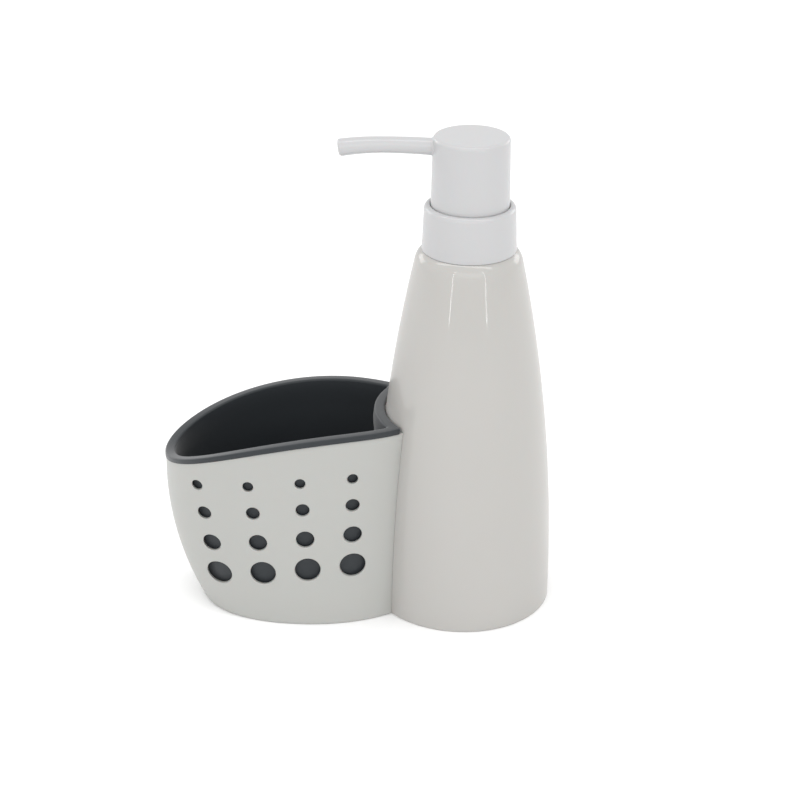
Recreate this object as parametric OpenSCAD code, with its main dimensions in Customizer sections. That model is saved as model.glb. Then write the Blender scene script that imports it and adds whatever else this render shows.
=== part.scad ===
// Soap pump bottle with a sponge caddy moulded to hug its side.
// The pump axis is the Z axis, the caddy runs out along -X and the base rests on z = 0.
// All sizes are millimetres.

/* [Bottle] */
// Radius of the bottle at its widest ring
bottle_r = 38.5; // [36:0.5:42]
// Height of the widest ring above the base
belly_z = 8; // [6:0.5:12]
// Height where the flank turns into the shoulder
shoulder_z = 157; // [152:0.5:160]
// Radius of the flank at the shoulder
shoulder_r = 22.5; // [21.8:0.1:24]
// Rise of the rounded shoulder above the flank
shoulder_rise = 5.8; // [4.5:0.1:6.5]
// Wall thickness of the bottle
bottle_wall = 2.2; // [1.6:0.1:3]
// Rounding of the bottle's bottom edge
foot_round = 4.5; // [3:0.1:6]
// Flat ring that the bottle stands on
foot_flat = 1.2; // [0.8:0.1:2]
// Thickness of the welded base disc
base_disc_t = 2.6; // [2:0.1:4]

/* [Neck] */
// Outer radius of the neck below its thread crests
neck_r = 10.9; // [10.5:0.05:11.2]
// Bore radius of the neck
neck_bore_r = 9; // [8.9:0.05:9.3]
// Height of the neck above the shoulder
neck_h = 14; // [13:0.5:15]

/* [Caddy shell] */
// Half the width of the caddy
caddy_half_w = 33.5; // [30:0.5:36]
// Distance from the pump axis to the tip at the base
tip_base_x = 114; // [110:0.2:118]
// Distance from the pump axis to the tip at the rim
tip_top_x = 128.6; // [124:0.2:134]
// Height above which the bow stands upright
bow_z = 60; // [50:1:66]
// Distance from the pump axis to the widest place at the base
beam_base_x = 66; // [62:0.5:70]
// Distance from the pump axis to the widest place at the rim
beam_top_x = 76; // [72:0.5:80]
// How much fuller than an ellipse the outline's bow half is
bow_swell_share = 0.03; // [0:0.005:0.05]
// Length of the outline's bottle half at the base
reach_base = 49.8; // [48:0.2:54]
// Length of the outline's bottle half at the rim
reach_top = 65; // [62:0.5:68]
// Height of the rim beside the bottle
rim_z = 89; // [80:0.5:94]
// Radius of the arc that the rim falls along
rim_arc_r = 194; // [170:2:240]
// Distance from the pump axis where the rim starts to fall
rim_flat_x = 42; // [40:1:50]
// Wall thickness of the shell
shell_wall = 1.6; // [1.2:0.1:2.2]
// Thickness of the shell's floor
shell_floor_t = 2.4; // [1.6:0.1:3.2]
// Rounding of the shell's bottom edge
shell_foot_round = 0.8; // [0.4:0.1:1.5]
// Gap between the shell and the bottle, filled by the bond
bond_gap = 0.15; // [0.1:0.05:0.4]

/* [Vent holes] */
// Diameter of the holes in the top row
vent_d_1 = 4.5; // [3.5:0.1:5]
// Diameter of the holes in the second row
vent_d_2 = 5.8; // [5:0.1:6.5]
// Diameter of the holes in the third row
vent_d_3 = 7.7; // [7:0.1:8.5]
// Diameter of the holes in the bottom row
vent_d_4 = 10.9; // [9:0.1:11.5]
// Distance from the pump axis to the column beside the bottle
vent_near_x = 47.4; // [46:0.1:49]
// Pitch of the columns along the top row
vent_pitch_x = 21.9; // [20:0.1:23]
// Height of the top row at the column beside the bottle
vent_top_z = 69.1; // [64:0.1:72]
// Height of the bottom row at the column beside the bottle
vent_low_z = 27.9; // [24:0.1:32]
// Rows of holes on each side
vent_rows = 4; // [4:1:4]
// Columns of holes on each side
vent_cols = 4; // [2:1:4]

/* [Caddy liner] */
// Wall thickness of the liner
liner_wall = 1.5; // [1.2:0.1:2]
// Gap between the liner and the shell under the lip
liner_gap = 0.4; // [0.3:0.05:0.6]
// How far the liner draws in down to its foot, so that it lifts out freely
liner_draft = 0.6; // [0.6:0.05:1]
// Width of the liner's lip
lip_w = 4.4; // [4:0.1:5]
// Height of the lip's outer face
lip_h = 2.2; // [1.8:0.1:3]
// Height of the lip's inner face
lip_in_h = 3.4; // [2.6:0.1:4]
// How far the lip stands proud of the shell
lip_proud = 0.3; // [0:0.05:0.8]
// Gap between the lip and the bottle
lip_bottle_gap = 0.9; // [0.6:0.1:1.5]
// Rounding of the lip's edges
lip_round = 0.9; // [0.5:0.1:1]
// Rounding of the lip's two corners beside the bottle
lip_corner_r = 3.2; // [2.5:0.1:4]
// Height of the drip space under the liner
drip_space_h = 4; // [3:0.5:8]
// Thickness of the liner's floor
liner_floor_t = 1.8; // [1.4:0.1:2.5]
// Diameter of the drain holes in the liner's floor
drain_d = 5; // [4:0.5:6]

/* [Closure] */
// Outer radius of the sleeve at its foot
sleeve_foot_r = 19.7; // [19.5:0.1:20.5]
// Outer radius of the sleeve at its top
sleeve_top_r = 19; // [18.8:0.1:19.4]
// Height of the sleeve above its inner foot
sleeve_h = 17.9; // [17.5:0.1:20]
// Radial gap between the sleeve's mouth and the head
mouth_gap = 0.4; // [0.3:0.05:0.6]
// Thickness of the sleeve's inturned mouth
mouth_t = 1.7; // [1.2:0.1:2.2]
// Inner radius of the screw cap over the neck threads
cap_bore_r = 12.2; // [12:0.1:12.4]
// Wall thickness of the screw cap
cap_wall = 1.25; // [1:0.05:1.4]
// Thickness of the screw cap's web over the pump flange
cap_web_t = 1.5; // [1.2:0.1:2]

/* [Head and spout] */
// How far the head's skirt sits down inside the sleeve at rest
head_dip = 1.5; // [1:0.1:4]
// Radius of the head at its skirt
head_r = 16.3; // [16:0.05:16.4]
// Radius of the head at its top
head_top_r = 15.8; // [15.2:0.1:16]
// Length of the head's skirt
head_h = 30.5; // [30:0.1:31]
// Wall thickness of the head's skirt
head_wall = 1.4; // [1.1:0.05:1.5]
// Thickness of the head's roof
head_roof_t = 1.8; // [1.4:0.1:2.4]
// Rounding of the head's top edge
head_round = 1.6; // [1:0.1:2]
// Distance from the pump axis to the spout's tip
spout_reach = 54; // [48:0.5:60]
// Diameter of the spout where it leaves the head
spout_root_d = 7.1; // [6.8:0.1:7.3]
// Diameter of the spout at its highest place
spout_waist_d = 6.7; // [6:0.1:7]
// Diameter of the spout at its tip
spout_tip_d = 7.2; // [6.4:0.1:7.4]
// Rounding of the spout's end
spout_round = 1.2; // [0.5:0.1:1.5]
// Diameter of the spout's bore
spout_bore_d = 3; // [2.6:0.1:3.4]
// Drop from the head's top to the spout's root axis
spout_drop = 4.7; // [4.6:0.1:5.2]
// Radius of the arc that the spout rises along from the head
spout_rise_r = 300; // [200:10:500]
// Radius of the arc that the spout falls along to its tip
spout_arc_r = 122; // [100:2:200]
// Distance from the pump axis to the spout's highest place
spout_crown_x = 35; // [30:0.5:38]
// Rounding where the spout grows out of the head
spout_fillet = 0.8; // [0.4:0.1:0.9]

/* [Pump engine] */
// Travel of the head when it is pressed
stroke = 12; // [9:0.5:12.5]
// Length of the pump cylinder
cylinder_h = 33; // [32:0.5:36]
// Bore radius of the pump cylinder
cylinder_r = 5.6; // [5.5:0.05:5.7]
// Wall thickness of the pump cylinder
cylinder_wall = 1.2; // [1:0.05:1.3]
// Outer radius of the stem
stem_r = 3.3; // [3.2:0.05:3.4]
// Bore radius of the stem
stem_bore_r = 1.9; // [1.6:0.05:2]
// Height of the piston
piston_h = 7.2; // [6.5:0.1:7.5]
// Radius of the inlet ball
ball_r = 2.4; // [2.3:0.05:2.5]
// Lift of the inlet ball off its seat
ball_lift = 1.5; // [1:0.1:1.8]
// Wire diameter of the return spring
wire_d = 0.8; // [0.6:0.05:0.85]
// Turns of the return spring
spring_turns = 7; // [5:1:7]
// Outer radius of the dip tube
dip_r = 2.5; // [2.3:0.05:2.6]
// Wall thickness of the dip tube
dip_wall = 0.7; // [0.5:0.05:0.9]
// Gap between the dip tube's foot and the bottle's floor
dip_clear = 3.4; // [2:0.1:6]

/* [Hidden] */
$fn = 96;

// Clearances shared by every fit
run_gap = 0.08;
seat_gap = 0.05;
weld_gap = 0.05;
slip_gap = 0.3;
rest_gap = 0.1;
press_gap = 0.03;
cut = 1;

// Bottle values that follow from the driving sizes
deck_z = shoulder_z + shoulder_rise;
neck_top_z = deck_z + neck_h;
flank_dz = shoulder_z - belly_z;
flank_dr = bottle_r - shoulder_r;
flank_arc_r = (flank_dz * flank_dz + flank_dr * flank_dr) / (2 * flank_dr);
shoulder_a = asin(flank_dz / flank_arc_r);
shoulder_arc_r = shoulder_rise / (1 - sin(shoulder_a));
shoulder_flat_r = shoulder_r - shoulder_arc_r * cos(shoulder_a);
base_disc_r = bottle_r - foot_round - foot_flat;
neck_lip_round = 0.4;
flank_steps = 20;
arc_steps = 8;

// Caddy values that follow from the driving sizes
bow_fall = abs(tip_top_x - tip_base_x);
bow_arc_r = (bow_z * bow_z + bow_fall * bow_fall) / (2 * bow_fall);
lip_seat_gap = 0.1;
web_e = bond_gap + shell_wall;
liner_d = shell_wall + liner_gap;
liner_e = web_e + liner_gap;
liner_bottom_z = shell_floor_t + drip_space_h;
liner_floor_z = liner_bottom_z + liner_floor_t;
liner_foot_r = 2;
crease_r = 0.4;
shell_corner_r = 1.2;
liner_corner_r = 1.8;
liner_inner_corner_r = 1.2;
notch_steps = 8;
corner_steps = 5;
side_steps = 34;
liner_leg_h = drip_space_h - seat_gap;
liner_leg_r = 2.5;
leg_x_shares = [0.44, 0.74];
leg_y_share = 0.45;
drain_x_shares = [0.5, 0.6, 0.7, 0.8];
drain_y_shares = [-0.36, 0, 0.36];

// Vent pattern: rows follow the fall of the rim and columns close in towards the base
vent_ds = [vent_d_1, vent_d_2, vent_d_3, vent_d_4];
vent_drop_shares = [0, 0.303, 0.644, 1];
vent_close_share = 0.0433;
vent_fall_share = 0.0439;
vent_fall_power = 1.7;

// Closure values that follow from the driving sizes
gasket_t = 1;
flange_t = 1.4;
flange_r = neck_r;
flange_z = neck_top_z + gasket_t;
web_z = flange_z + flange_t + run_gap;
cap_top_z = web_z + cap_web_t;
sleeve_z = deck_z + slip_gap;
sleeve_foot_z = sleeve_z - arc_sag(shoulder_arc_r, sleeve_foot_r - shoulder_flat_r);
sleeve_top_z = sleeve_z + sleeve_h;
sleeve_round = 2.1;
mouth_r = head_r + mouth_gap;
cap_foot_gap = 1.2;
cap_foot_z = deck_z + cap_foot_gap;
cap_ring_t = 2.2;
sleeve_wall = 1.5;
cap_ring_r = sleeve_top_r - sleeve_wall;
sleeve_ledge_t = 1.1;
sleeve_ledge_r = mouth_r + slip_gap;

// Pump housing: a cup in the neck, the cylinder below it and the inlet valve at the foot
cup_r = neck_bore_r - slip_gap;
cup_wall = 0.9;
cup_bore_r = cup_r - cup_wall;
cup_depth_share = 0.65;
cup_floor_z = neck_top_z - cup_depth_share * neck_h;
cup_floor_t = 1.4;
ledge_z = cup_floor_z - cylinder_h;
ledge_t = 1.6;
cage_t = 1.2;
cage_overlap = 0.4;
cage_hole_r = ball_r - cage_overlap;
chamber_r = ball_r + slip_gap;
seat_overlap = 0.9;
seat_hole_r = ball_r - seat_overlap;
seat_z = ledge_z - cage_t - 2 * ball_r - ball_lift - slip_gap
    + seat_hole_r - ball_r * (sqrt(2) - 1);
ball_z = seat_z - seat_hole_r + (ball_r + seat_gap) * sqrt(2);
seat_ring_t = 1.4;
spigot_wall = 1.4;
spigot_r = chamber_r + spigot_wall;
spigot_h = 12;
spigot_z = seat_z - seat_ring_t - spigot_h;

// Housing cap, stem and piston
guide_wall = 1.2;
guide_bore_r = stem_r + run_gap;
guide_r = guide_bore_r + guide_wall;
hcap_skirt_r = cup_bore_r - seat_gap;
hcap_wall = 1.1;
hcap_flange_w = 2.2;
hcap_flange_r = hcap_skirt_r + hcap_flange_w;
hcap_z = cap_top_z + run_gap;
hcap_t = 1.2;
hcap_top_z = hcap_z + hcap_t;
hcap_floor_t = 1.5;
hcap_floor_gap = 0.2;
hcap_floor_z = cup_floor_z + hcap_floor_gap;
hcap_nose = 1;
hcap_nose_gap = 0.2;
hcap_nose_r = cylinder_r - hcap_nose_gap;
collar_t = 1;
collar_w = 0.9;
collar_r = stem_r + collar_w;
stop_gap = 0.2;
stem_collar_z = hcap_floor_z - hcap_nose - stop_gap - collar_t;
piston_z = stem_collar_z - rest_gap - piston_h;
piston_r = cylinder_r - seat_gap;
piston_waist = 0.9;
piston_waist_r = piston_r - piston_waist;
piston_lip_h = 1.6;
plug_t = 1.5;
plug_gap = 0.7;
plug_r = cylinder_r - plug_gap;
plug_z = piston_z - rest_gap - plug_t;
plug_nose_h = 3.5;
plug_boss_h = 2.5;
stem_z = plug_z + plug_t;
port_r = 0.8;
port_z = stem_z + plug_nose_h + 2 * port_r;

// Spring
wire_r = wire_d / 2;
spring_r = (plug_r + cage_hole_r + 2 * wire_r) / 2 + wire_d;
spring_low_z = ledge_z + seat_gap;
spring_high_z = plug_z - seat_gap;
spring_rings = 8;
spring_sides = 6;

// Head and spout
head_z = sleeve_top_z - head_dip;
head_top_z = head_z + head_h;
roof_z = head_top_z - head_roof_t;
spout_z = head_top_z - spout_drop;
spout_crown_z = spout_z + arc_sag(spout_rise_r, spout_crown_x - head_top_r);
spout_rings = 10;
spout_sides = 20;
channel_r = spout_bore_d / 2;
insert_wall = 0.6;
insert_clear = 1;
insert_z = hcap_top_z + stroke + insert_clear;
insert_gap = 0.15;
insert_r = head_top_r - head_wall - insert_gap;
tube_recess = 0.25;
socket_wall = 1.9;
socket_bore_r = stem_r + press_gap;
socket_r = socket_bore_r + socket_wall;
stem_top_gap = 1;
stem_top_z = spout_z - channel_r - stem_top_gap;
rib_t = 1.2;
rib_h = 7;
ribs = 6;
dip_top_z = seat_z - seat_ring_t - seat_gap;
dip_foot_z = base_disc_t + dip_clear;

// The gap that the spring keeps to itself when it is fully pressed and at rest
function arc_sag(r, dx) = r - sqrt(r * r - dx * dx);
function spring_pitch(len) = (len - wire_d) / spring_turns;
echo("spring gap at rest", spring_pitch(spring_high_z - spring_low_z) - wire_d);
echo("spring gap when pressed", spring_pitch(spring_high_z - spring_low_z - stroke) - wire_d);

// Radius of the bottle's outer flank at a height
function flank_r(z) = bottle_r - arc_sag(flank_arc_r, max(0, z - belly_z));

// Points of a circular arc in a profile
function arc(cx, cz, r, a0, a1, steps = arc_steps) =
    [for (i = [0:steps])
        let(a = a0 + (a1 - a0) * i / steps)
        [cx + r * cos(a), cz + r * sin(a)]];

// Caddy outline: how upright the bow is at a height, from 0 at the base to 1
function bow(z) = z >= bow_z ? 1 : 1 - arc_sag(bow_arc_r, bow_z - z) / bow_fall;
function blend(a, b, t) = a + (b - a) * t;
function beam_x(z) = blend(beam_base_x, beam_top_x, bow(z));
function tip_len(z) = blend(tip_base_x, tip_top_x, bow(z)) - beam_x(z);
function reach_len(z) = blend(reach_base, reach_top, bow(z));
function half_len(a, z) = cos(a) > 0 ? reach_len(z) : tip_len(z);

// Swell of the outline's bow half at angle a, and its slope
function swell(a) = cos(a) > 0 ? 1 : 1 + bow_swell_share * pow(sin(2 * a), 2);
function swell_slope(a) = cos(a) > 0 ? 0 : 2 * bow_swell_share * sin(4 * a);

// Unit normal of the outline and its point at angle a, height z and inset d
function side_normal(a, z) =
    let(
        nx = caddy_half_w * (cos(a) * swell(a) + sin(a) * swell_slope(a)),
        ny = half_len(a, z) * (sin(a) * swell(a) - cos(a) * swell_slope(a))
    )
    [nx, ny] / norm([nx, ny]);
function side_point(a, z, d) =
    swell(a) * [half_len(a, z) * cos(a), caddy_half_w * sin(a)] - [beam_x(z), 0]
    - d * side_normal(a, z);

// Angle where the inset outline meets a circle of radius r about the pump axis
function meet_angle(z, d, r, lo = 10, hi = 90, n = 30) =
    n == 0 ? (lo + hi) / 2
    : norm(side_point((lo + hi) / 2, z, d)) < r
    ? meet_angle(z, d, r, (lo + hi) / 2, hi, n - 1)
    : meet_angle(z, d, r, lo, (lo + hi) / 2, n - 1);

// Height of the rim at a distance x in front of or behind the pump axis
function rim_height(x) = rim_z - arc_sag(rim_arc_r, max(0, -x - rim_flat_x));

// Height of a ring at x: a share s of the way from z0 to the rim less a drop
function ring_height(x, z0, s, drop) = z0 + s * (rim_height(x) - drop - z0);

// Half of a ring, from the notch's middle round the corner to the bow's tip.
// d insets the outer side, e stands off the bottle and f rounds the corner.
function half_ring(z0, s, drop, d, e, f) =
    let(
        zc = ring_height(-rim_flat_x, z0, s, drop),
        rc = flank_r(zc) + e,
        af = meet_angle(zc, d + f, rc + f),
        centre = side_point(af, zc, d + f),
        notch_a = atan2(centre[1], centre[0]),
        out_a = atan2(side_normal(af, zc)[1], side_normal(af, zc)[0]),
        in_a = notch_a - 180
    )
    concat(
        [for (i = [0:notch_steps - 1])
            let(a = 180 + (notch_a - 180) * i / notch_steps)
            [rc * cos(a), rc * sin(a), zc]],
        [for (i = [0:corner_steps])
            let(a = in_a + (out_a - in_a) * i / corner_steps)
            [centre[0] + f * cos(a), centre[1] + f * sin(a), zc]],
        [for (i = [1:side_steps])
            let(
                a = af + (180 - af) * i / side_steps,
                z = ring_height(side_point(a, bow_z, 0)[0], z0, s, drop),
                p = side_point(a, z, d)
            )
            [p[0], p[1], z]]
    );

// A whole ring: the half ring and its mirror image across the XZ plane
function ring(spec) =
    let(h = half_ring(spec[0], spec[1], spec[2], spec[3], spec[4], spec[5]), n = len(h))
    concat(h, [for (i = [n - 2:-1:1]) [h[i][0], -h[i][1], h[i][2]]]);

// Closed skin over a stack of rings, capped at its first and last ring. The caps start at
// the bow's tip, from where every point of the ring is in sight.
module ring_skin(specs) {
    rings = [for (s = specs) ring(s)];
    n = len(rings[0]);
    tip = n / 2;
    last = len(rings) - 1;
    polyhedron(
        points = [for (r = rings) for (p = r) p],
        faces = concat(
            [[for (i = [n:-1:1]) (tip + i) % n]],
            [for (j = [0:last - 1]) for (i = [0:n - 1])
                [j * n + i, (j + 1) * n + (i + 1) % n, (j + 1) * n + i]],
            [for (j = [0:last - 1]) for (i = [0:n - 1])
                [j * n + i, j * n + (i + 1) % n, (j + 1) * n + (i + 1) % n]],
            [[for (i = [0:n - 1]) last * n + (tip + i) % n]]
        )
    );
}

module ring_at(z, h, r_out, r_in) {
    translate([0, 0, z]) difference() {
        cylinder(h = h, r = r_out);
        translate([0, 0, -cut]) cylinder(h = h + 2 * cut, r = r_in);
    }
}

module bottle() {
    outer = concat(
        [[base_disc_r, 0]],
        arc(bottle_r - foot_round, foot_round, foot_round, -90, 0),
        [for (i = [0:flank_steps])
            let(z = belly_z + flank_dz * i / flank_steps)
            [flank_r(z), z]],
        arc(shoulder_flat_r, deck_z - shoulder_arc_r, shoulder_arc_r, shoulder_a, 90),
        [[neck_r, deck_z]],
        arc(neck_r - neck_lip_round, neck_top_z - neck_lip_round, neck_lip_round, 0, 90, 3),
        arc(neck_bore_r + neck_lip_round, neck_top_z - neck_lip_round, neck_lip_round, 90, 180, 3),
        [[neck_bore_r, deck_z - bottle_wall]],
        [for (i = [flank_steps:-1:0])
            let(z = belly_z + (flank_dz - bottle_wall / 2) * i / flank_steps)
            [flank_r(z) - bottle_wall, z]],
        [[base_disc_r, base_disc_t + bottle_wall]]
    );
    color("#dddbd6") rotate_extrude() polygon(outer);
}

module bottle_base() {
    color("#d4d2cd") cylinder(h = base_disc_t, r = base_disc_r - weld_gap);
}

// Distance from the pump axis to a vent, by column from the bottle and row from the top
function vent_x(col, row) = vent_near_x + vent_pitch_x * col * (1 - vent_close_share * row);
function vent_z(col, row) =
    blend(vent_top_z, vent_low_z, vent_drop_shares[row])
    - vent_fall_share * vent_pitch_x * pow(col, vent_fall_power);

// Each vent is cut straight across the caddy, so that it goes through both sides
module vents() {
    for (row = [0:vent_rows - 1]) for (col = [0:vent_cols - 1])
        translate([-vent_x(col, row), 0, vent_z(col, row)]) rotate([90, 0, 0])
            cylinder(h = 2 * (caddy_half_w + cut), r = vent_ds[row] / 2, center = true, $fn = 48);
}

module caddy_shell() {
    drop = lip_h + lip_seat_gap;
    inner_shares = [0, 0.12, 0.3, 0.5, 0.7, 1];
    outer_shares = [1, 0.72, 0.56, 0.42, 0.3, 0.2, 0.12, 0.05];
    color("#d6d6d1") difference() {
        ring_skin(concat(
            [for (s = inner_shares) [shell_floor_t, s, drop, shell_wall, web_e, shell_corner_r]],
            [for (s = outer_shares) [0, s, drop, 0, bond_gap, crease_r]],
            [for (a = [0, 45, 90])
                [shell_foot_round * (1 - sin(a)), 0, drop, shell_foot_round * (1 - cos(a)),
                    bond_gap, crease_r]]
        ));
        vents();
    }
}

// Inset of the liner's outer side at a share of the way from its foot to the rim
function liner_inset(s) = liner_d + liner_draft * (1 - s);

module caddy_liner() {
    in_e = liner_e + liner_wall;
    out_foot_d = liner_inset(0);
    in_foot_d = out_foot_d + liner_wall;
    wall_shares = [0.12, 0.3, 0.5, 0.7];
    lip_in_d = lip_w - lip_proud;
    lip_in_e = lip_bottle_gap + lip_w;
    curve = lip_round;
    foot = liner_foot_r;
    color("#4a4f54") union() {
        difference() {
            ring_skin(concat(
                [for (a = [90, 45, 0])
                    [liner_floor_z + foot * (1 - sin(a)), 0, 0, in_foot_d + foot * (1 - cos(a)),
                        in_e + foot * (1 - cos(a)), liner_inner_corner_r]],
                [for (s = concat(wall_shares, 1))
                    [liner_floor_z, s, lip_in_h, liner_inset(s) + liner_wall, in_e, liner_inner_corner_r]],
                [[0, 1, lip_in_h - curve, lip_in_d, lip_in_e, liner_inner_corner_r]],
                [for (a = [0, 45, 90])
                    [0, 1, curve * (1 - sin(a)), lip_in_d - curve * (1 - cos(a)),
                        lip_in_e - curve * (1 - cos(a)), liner_inner_corner_r + curve * (1 - cos(a))]],
                [for (a = [90, 45, 0])
                    [0, 1, curve * (1 - sin(a)), -lip_proud + curve * (1 - cos(a)),
                        lip_bottle_gap + curve * (1 - cos(a)), lip_corner_r - curve * (1 - cos(a))]],
                [[0, 1, lip_h, -lip_proud, lip_bottle_gap, lip_corner_r],
                    [0, 1, lip_h, liner_d, liner_e, liner_corner_r]],
                [for (i = [len(wall_shares) - 1:-1:0])
                    [liner_bottom_z, wall_shares[i], lip_h, liner_inset(wall_shares[i]),
                        liner_e, liner_corner_r]],
                [for (a = [0, 45, 90])
                    [liner_bottom_z + foot * (1 - sin(a)), 0, 0, out_foot_d + foot * (1 - cos(a)),
                        liner_e + foot * (1 - cos(a)), liner_corner_r]]
            ));
            for (xs = drain_x_shares) for (ys = drain_y_shares)
                translate([-xs * tip_top_x, ys * caddy_half_w, liner_bottom_z - cut])
                    cylinder(h = liner_floor_t + 2 * cut, r = drain_d / 2, $fn = 32);
        }
        for (xs = leg_x_shares) for (side = [-1, 1])
            translate([-xs * tip_top_x, side * leg_y_share * caddy_half_w, liner_bottom_z - liner_leg_h])
                cylinder(h = liner_leg_h + liner_floor_t / 2, r = liner_leg_r, $fn = 32);
    }
}

module collar_sleeve() {
    in_r = cap_ring_r + seat_gap;
    ledge_low_z = cap_foot_z + cap_ring_t + seat_gap;
    color("#dcdcdc") rotate_extrude() polygon(concat(
        [[in_r, sleeve_z], [sleeve_foot_r, sleeve_foot_z]],
        arc(sleeve_top_r - sleeve_round, sleeve_top_z - sleeve_round, sleeve_round, 0, 90),
        [[mouth_r, sleeve_top_z],
            [mouth_r, sleeve_top_z - mouth_t],
            [in_r, sleeve_top_z - mouth_t],
            [in_r, ledge_low_z + sleeve_ledge_t],
            [sleeve_ledge_r, ledge_low_z + sleeve_ledge_t],
            [sleeve_ledge_r, ledge_low_z],
            [in_r, ledge_low_z]]
    ));
}

module screw_cap() {
    cap_r = cap_bore_r + cap_wall;
    color("#e4e4e2") union() {
        ring_at(cap_foot_z, cap_top_z - cap_foot_z, cap_r, cap_bore_r);
        ring_at(web_z, cap_web_t, cap_bore_r + cap_wall / 2, cup_bore_r + slip_gap);
        ring_at(cap_foot_z, cap_ring_t, cap_ring_r, cap_bore_r);
    }
}

module neck_gasket() {
    color("#f0ede4") ring_at(neck_top_z, gasket_t, flange_r, cup_r + slip_gap / 2);
}

module pump_housing() {
    out_r = cylinder_r + cylinder_wall;
    color("#ecebe6") rotate_extrude() polygon([
        [cup_r, flange_z],
        [flange_r, flange_z],
        [flange_r, flange_z + flange_t],
        [cup_bore_r, flange_z + flange_t],
        [cup_bore_r, cup_floor_z],
        [cylinder_r, cup_floor_z],
        [cylinder_r, ledge_z],
        [chamber_r, ledge_z],
        [chamber_r, seat_z + chamber_r - seat_hole_r],
        [seat_hole_r, seat_z],
        [seat_hole_r, seat_z - seat_ring_t],
        [dip_r + seat_gap, seat_z - seat_ring_t],
        [dip_r + seat_gap, spigot_z],
        [spigot_r, spigot_z],
        [spigot_r, ledge_z - ledge_t - (out_r - spigot_r)],
        [out_r, ledge_z - ledge_t],
        [out_r, cup_floor_z - cup_floor_t],
        [cup_r, cup_floor_z - cup_floor_t + (cup_r - out_r) / 2]
    ]);
}

module housing_cap() {
    in_r = hcap_skirt_r - hcap_wall;
    color("#e2e2e0") rotate_extrude() polygon([
        [guide_bore_r, hcap_floor_z - hcap_nose],
        [hcap_nose_r, hcap_floor_z - hcap_nose],
        [hcap_nose_r, hcap_floor_z],
        [hcap_skirt_r, hcap_floor_z],
        [hcap_skirt_r, hcap_z],
        [hcap_flange_r, hcap_z],
        [hcap_flange_r, hcap_top_z],
        [in_r, hcap_top_z],
        [in_r, hcap_floor_z + hcap_floor_t],
        [guide_r, hcap_floor_z + hcap_floor_t],
        [guide_r, hcap_top_z],
        [guide_bore_r, hcap_top_z]
    ]);
}

// A round wire wound into a coil, as one unbroken tube
module return_spring() {
    steps = spring_turns * spring_rings;
    climb = (spring_high_z - spring_low_z - wire_d) / steps;
    function wire_point(i, k) =
        let(a = 360 * i / spring_rings, b = 360 * k / spring_sides, r = spring_r + wire_r * cos(b))
        [r * cos(a), r * sin(a), spring_low_z + wire_r + climb * i + wire_r * sin(b)];
    color("silver") polyhedron(
        points = [for (i = [0:steps]) for (k = [0:spring_sides - 1]) wire_point(i, k)],
        faces = concat(
            [[for (k = [spring_sides - 1:-1:0]) k]],
            [for (i = [0:steps - 1]) for (k = [0:spring_sides - 1])
                let(j = (k + 1) % spring_sides, m = i * spring_sides)
                [m + k, m + spring_sides + j, m + spring_sides + k]],
            [for (i = [0:steps - 1]) for (k = [0:spring_sides - 1])
                let(j = (k + 1) % spring_sides, m = i * spring_sides)
                [m + k, m + j, m + spring_sides + j]],
            [[for (k = [0:spring_sides - 1]) steps * spring_sides + k]]
        )
    );
}

module pump_stem() {
    color("#e8e8e8") difference() {
        union() {
            translate([0, 0, stem_z]) cylinder(h = stem_top_z - stem_z, r = stem_r);
            translate([0, 0, stem_collar_z]) cylinder(h = collar_t, r = collar_r);
        }
        translate([0, 0, stem_z - cut]) cylinder(h = stem_top_z - stem_z + 2 * cut, r = stem_bore_r);
        translate([0, 0, port_z]) rotate([90, 0, 0])
            cylinder(h = 3 * stem_r, r = port_r, center = true, $fn = 24);
    }
}

module stem_plug() {
    color("#c9cfd6") union() {
        translate([0, 0, plug_z]) cylinder(h = plug_t - seat_gap, r = plug_r);
        translate([0, 0, plug_z]) cylinder(h = plug_t + plug_nose_h, r = stem_bore_r - seat_gap);
        translate([0, 0, plug_z - plug_boss_h]) cylinder(h = plug_boss_h + plug_t / 2, r = spring_r - wire_d);
    }
}

module piston() {
    top_z = piston_z + piston_h;
    color("#f2f0e8") rotate_extrude() polygon([
        [guide_bore_r, piston_z],
        [piston_waist_r, piston_z],
        [piston_r, piston_z + piston_lip_h / 4],
        [piston_r, piston_z + piston_lip_h],
        [piston_waist_r, piston_z + 1.5 * piston_lip_h],
        [piston_waist_r, top_z - 1.5 * piston_lip_h],
        [piston_r, top_z - piston_lip_h],
        [piston_r, top_z - piston_lip_h / 4],
        [piston_waist_r, top_z],
        [guide_bore_r, top_z]
    ]);
}

module ball_cage() {
    color("#d9d6cc") ring_at(ledge_z - cage_t, cage_t, chamber_r - seat_gap, cage_hole_r);
}

module inlet_ball() {
    color("#b9c4c8") translate([0, 0, ball_z]) sphere(r = ball_r, $fn = 48);
}

module dip_tube() {
    color("#eef0ee") ring_at(dip_foot_z, dip_top_z - dip_foot_z, dip_r, dip_r - dip_wall);
}

// Height of the spout's middle line: a shallow arc from the head up to the crown, then a tighter one down
function spout_mid_z(x) =
    let(dx = x - spout_crown_x)
    spout_crown_z - arc_sag(dx > 0 ? spout_arc_r : spout_rise_r, abs(dx));
function spout_lean(x) =
    let(dx = x - spout_crown_x)
    asin(dx / (dx > 0 ? spout_arc_r : spout_rise_r));
function spout_r(x) = (x > spout_crown_x
    ? blend(spout_waist_d, spout_tip_d, (x - spout_crown_x) / (spout_reach - spout_crown_x))
    : blend(spout_root_d, spout_waist_d, (x - head_top_r) / (spout_crown_x - head_top_r))) / 2;

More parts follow.
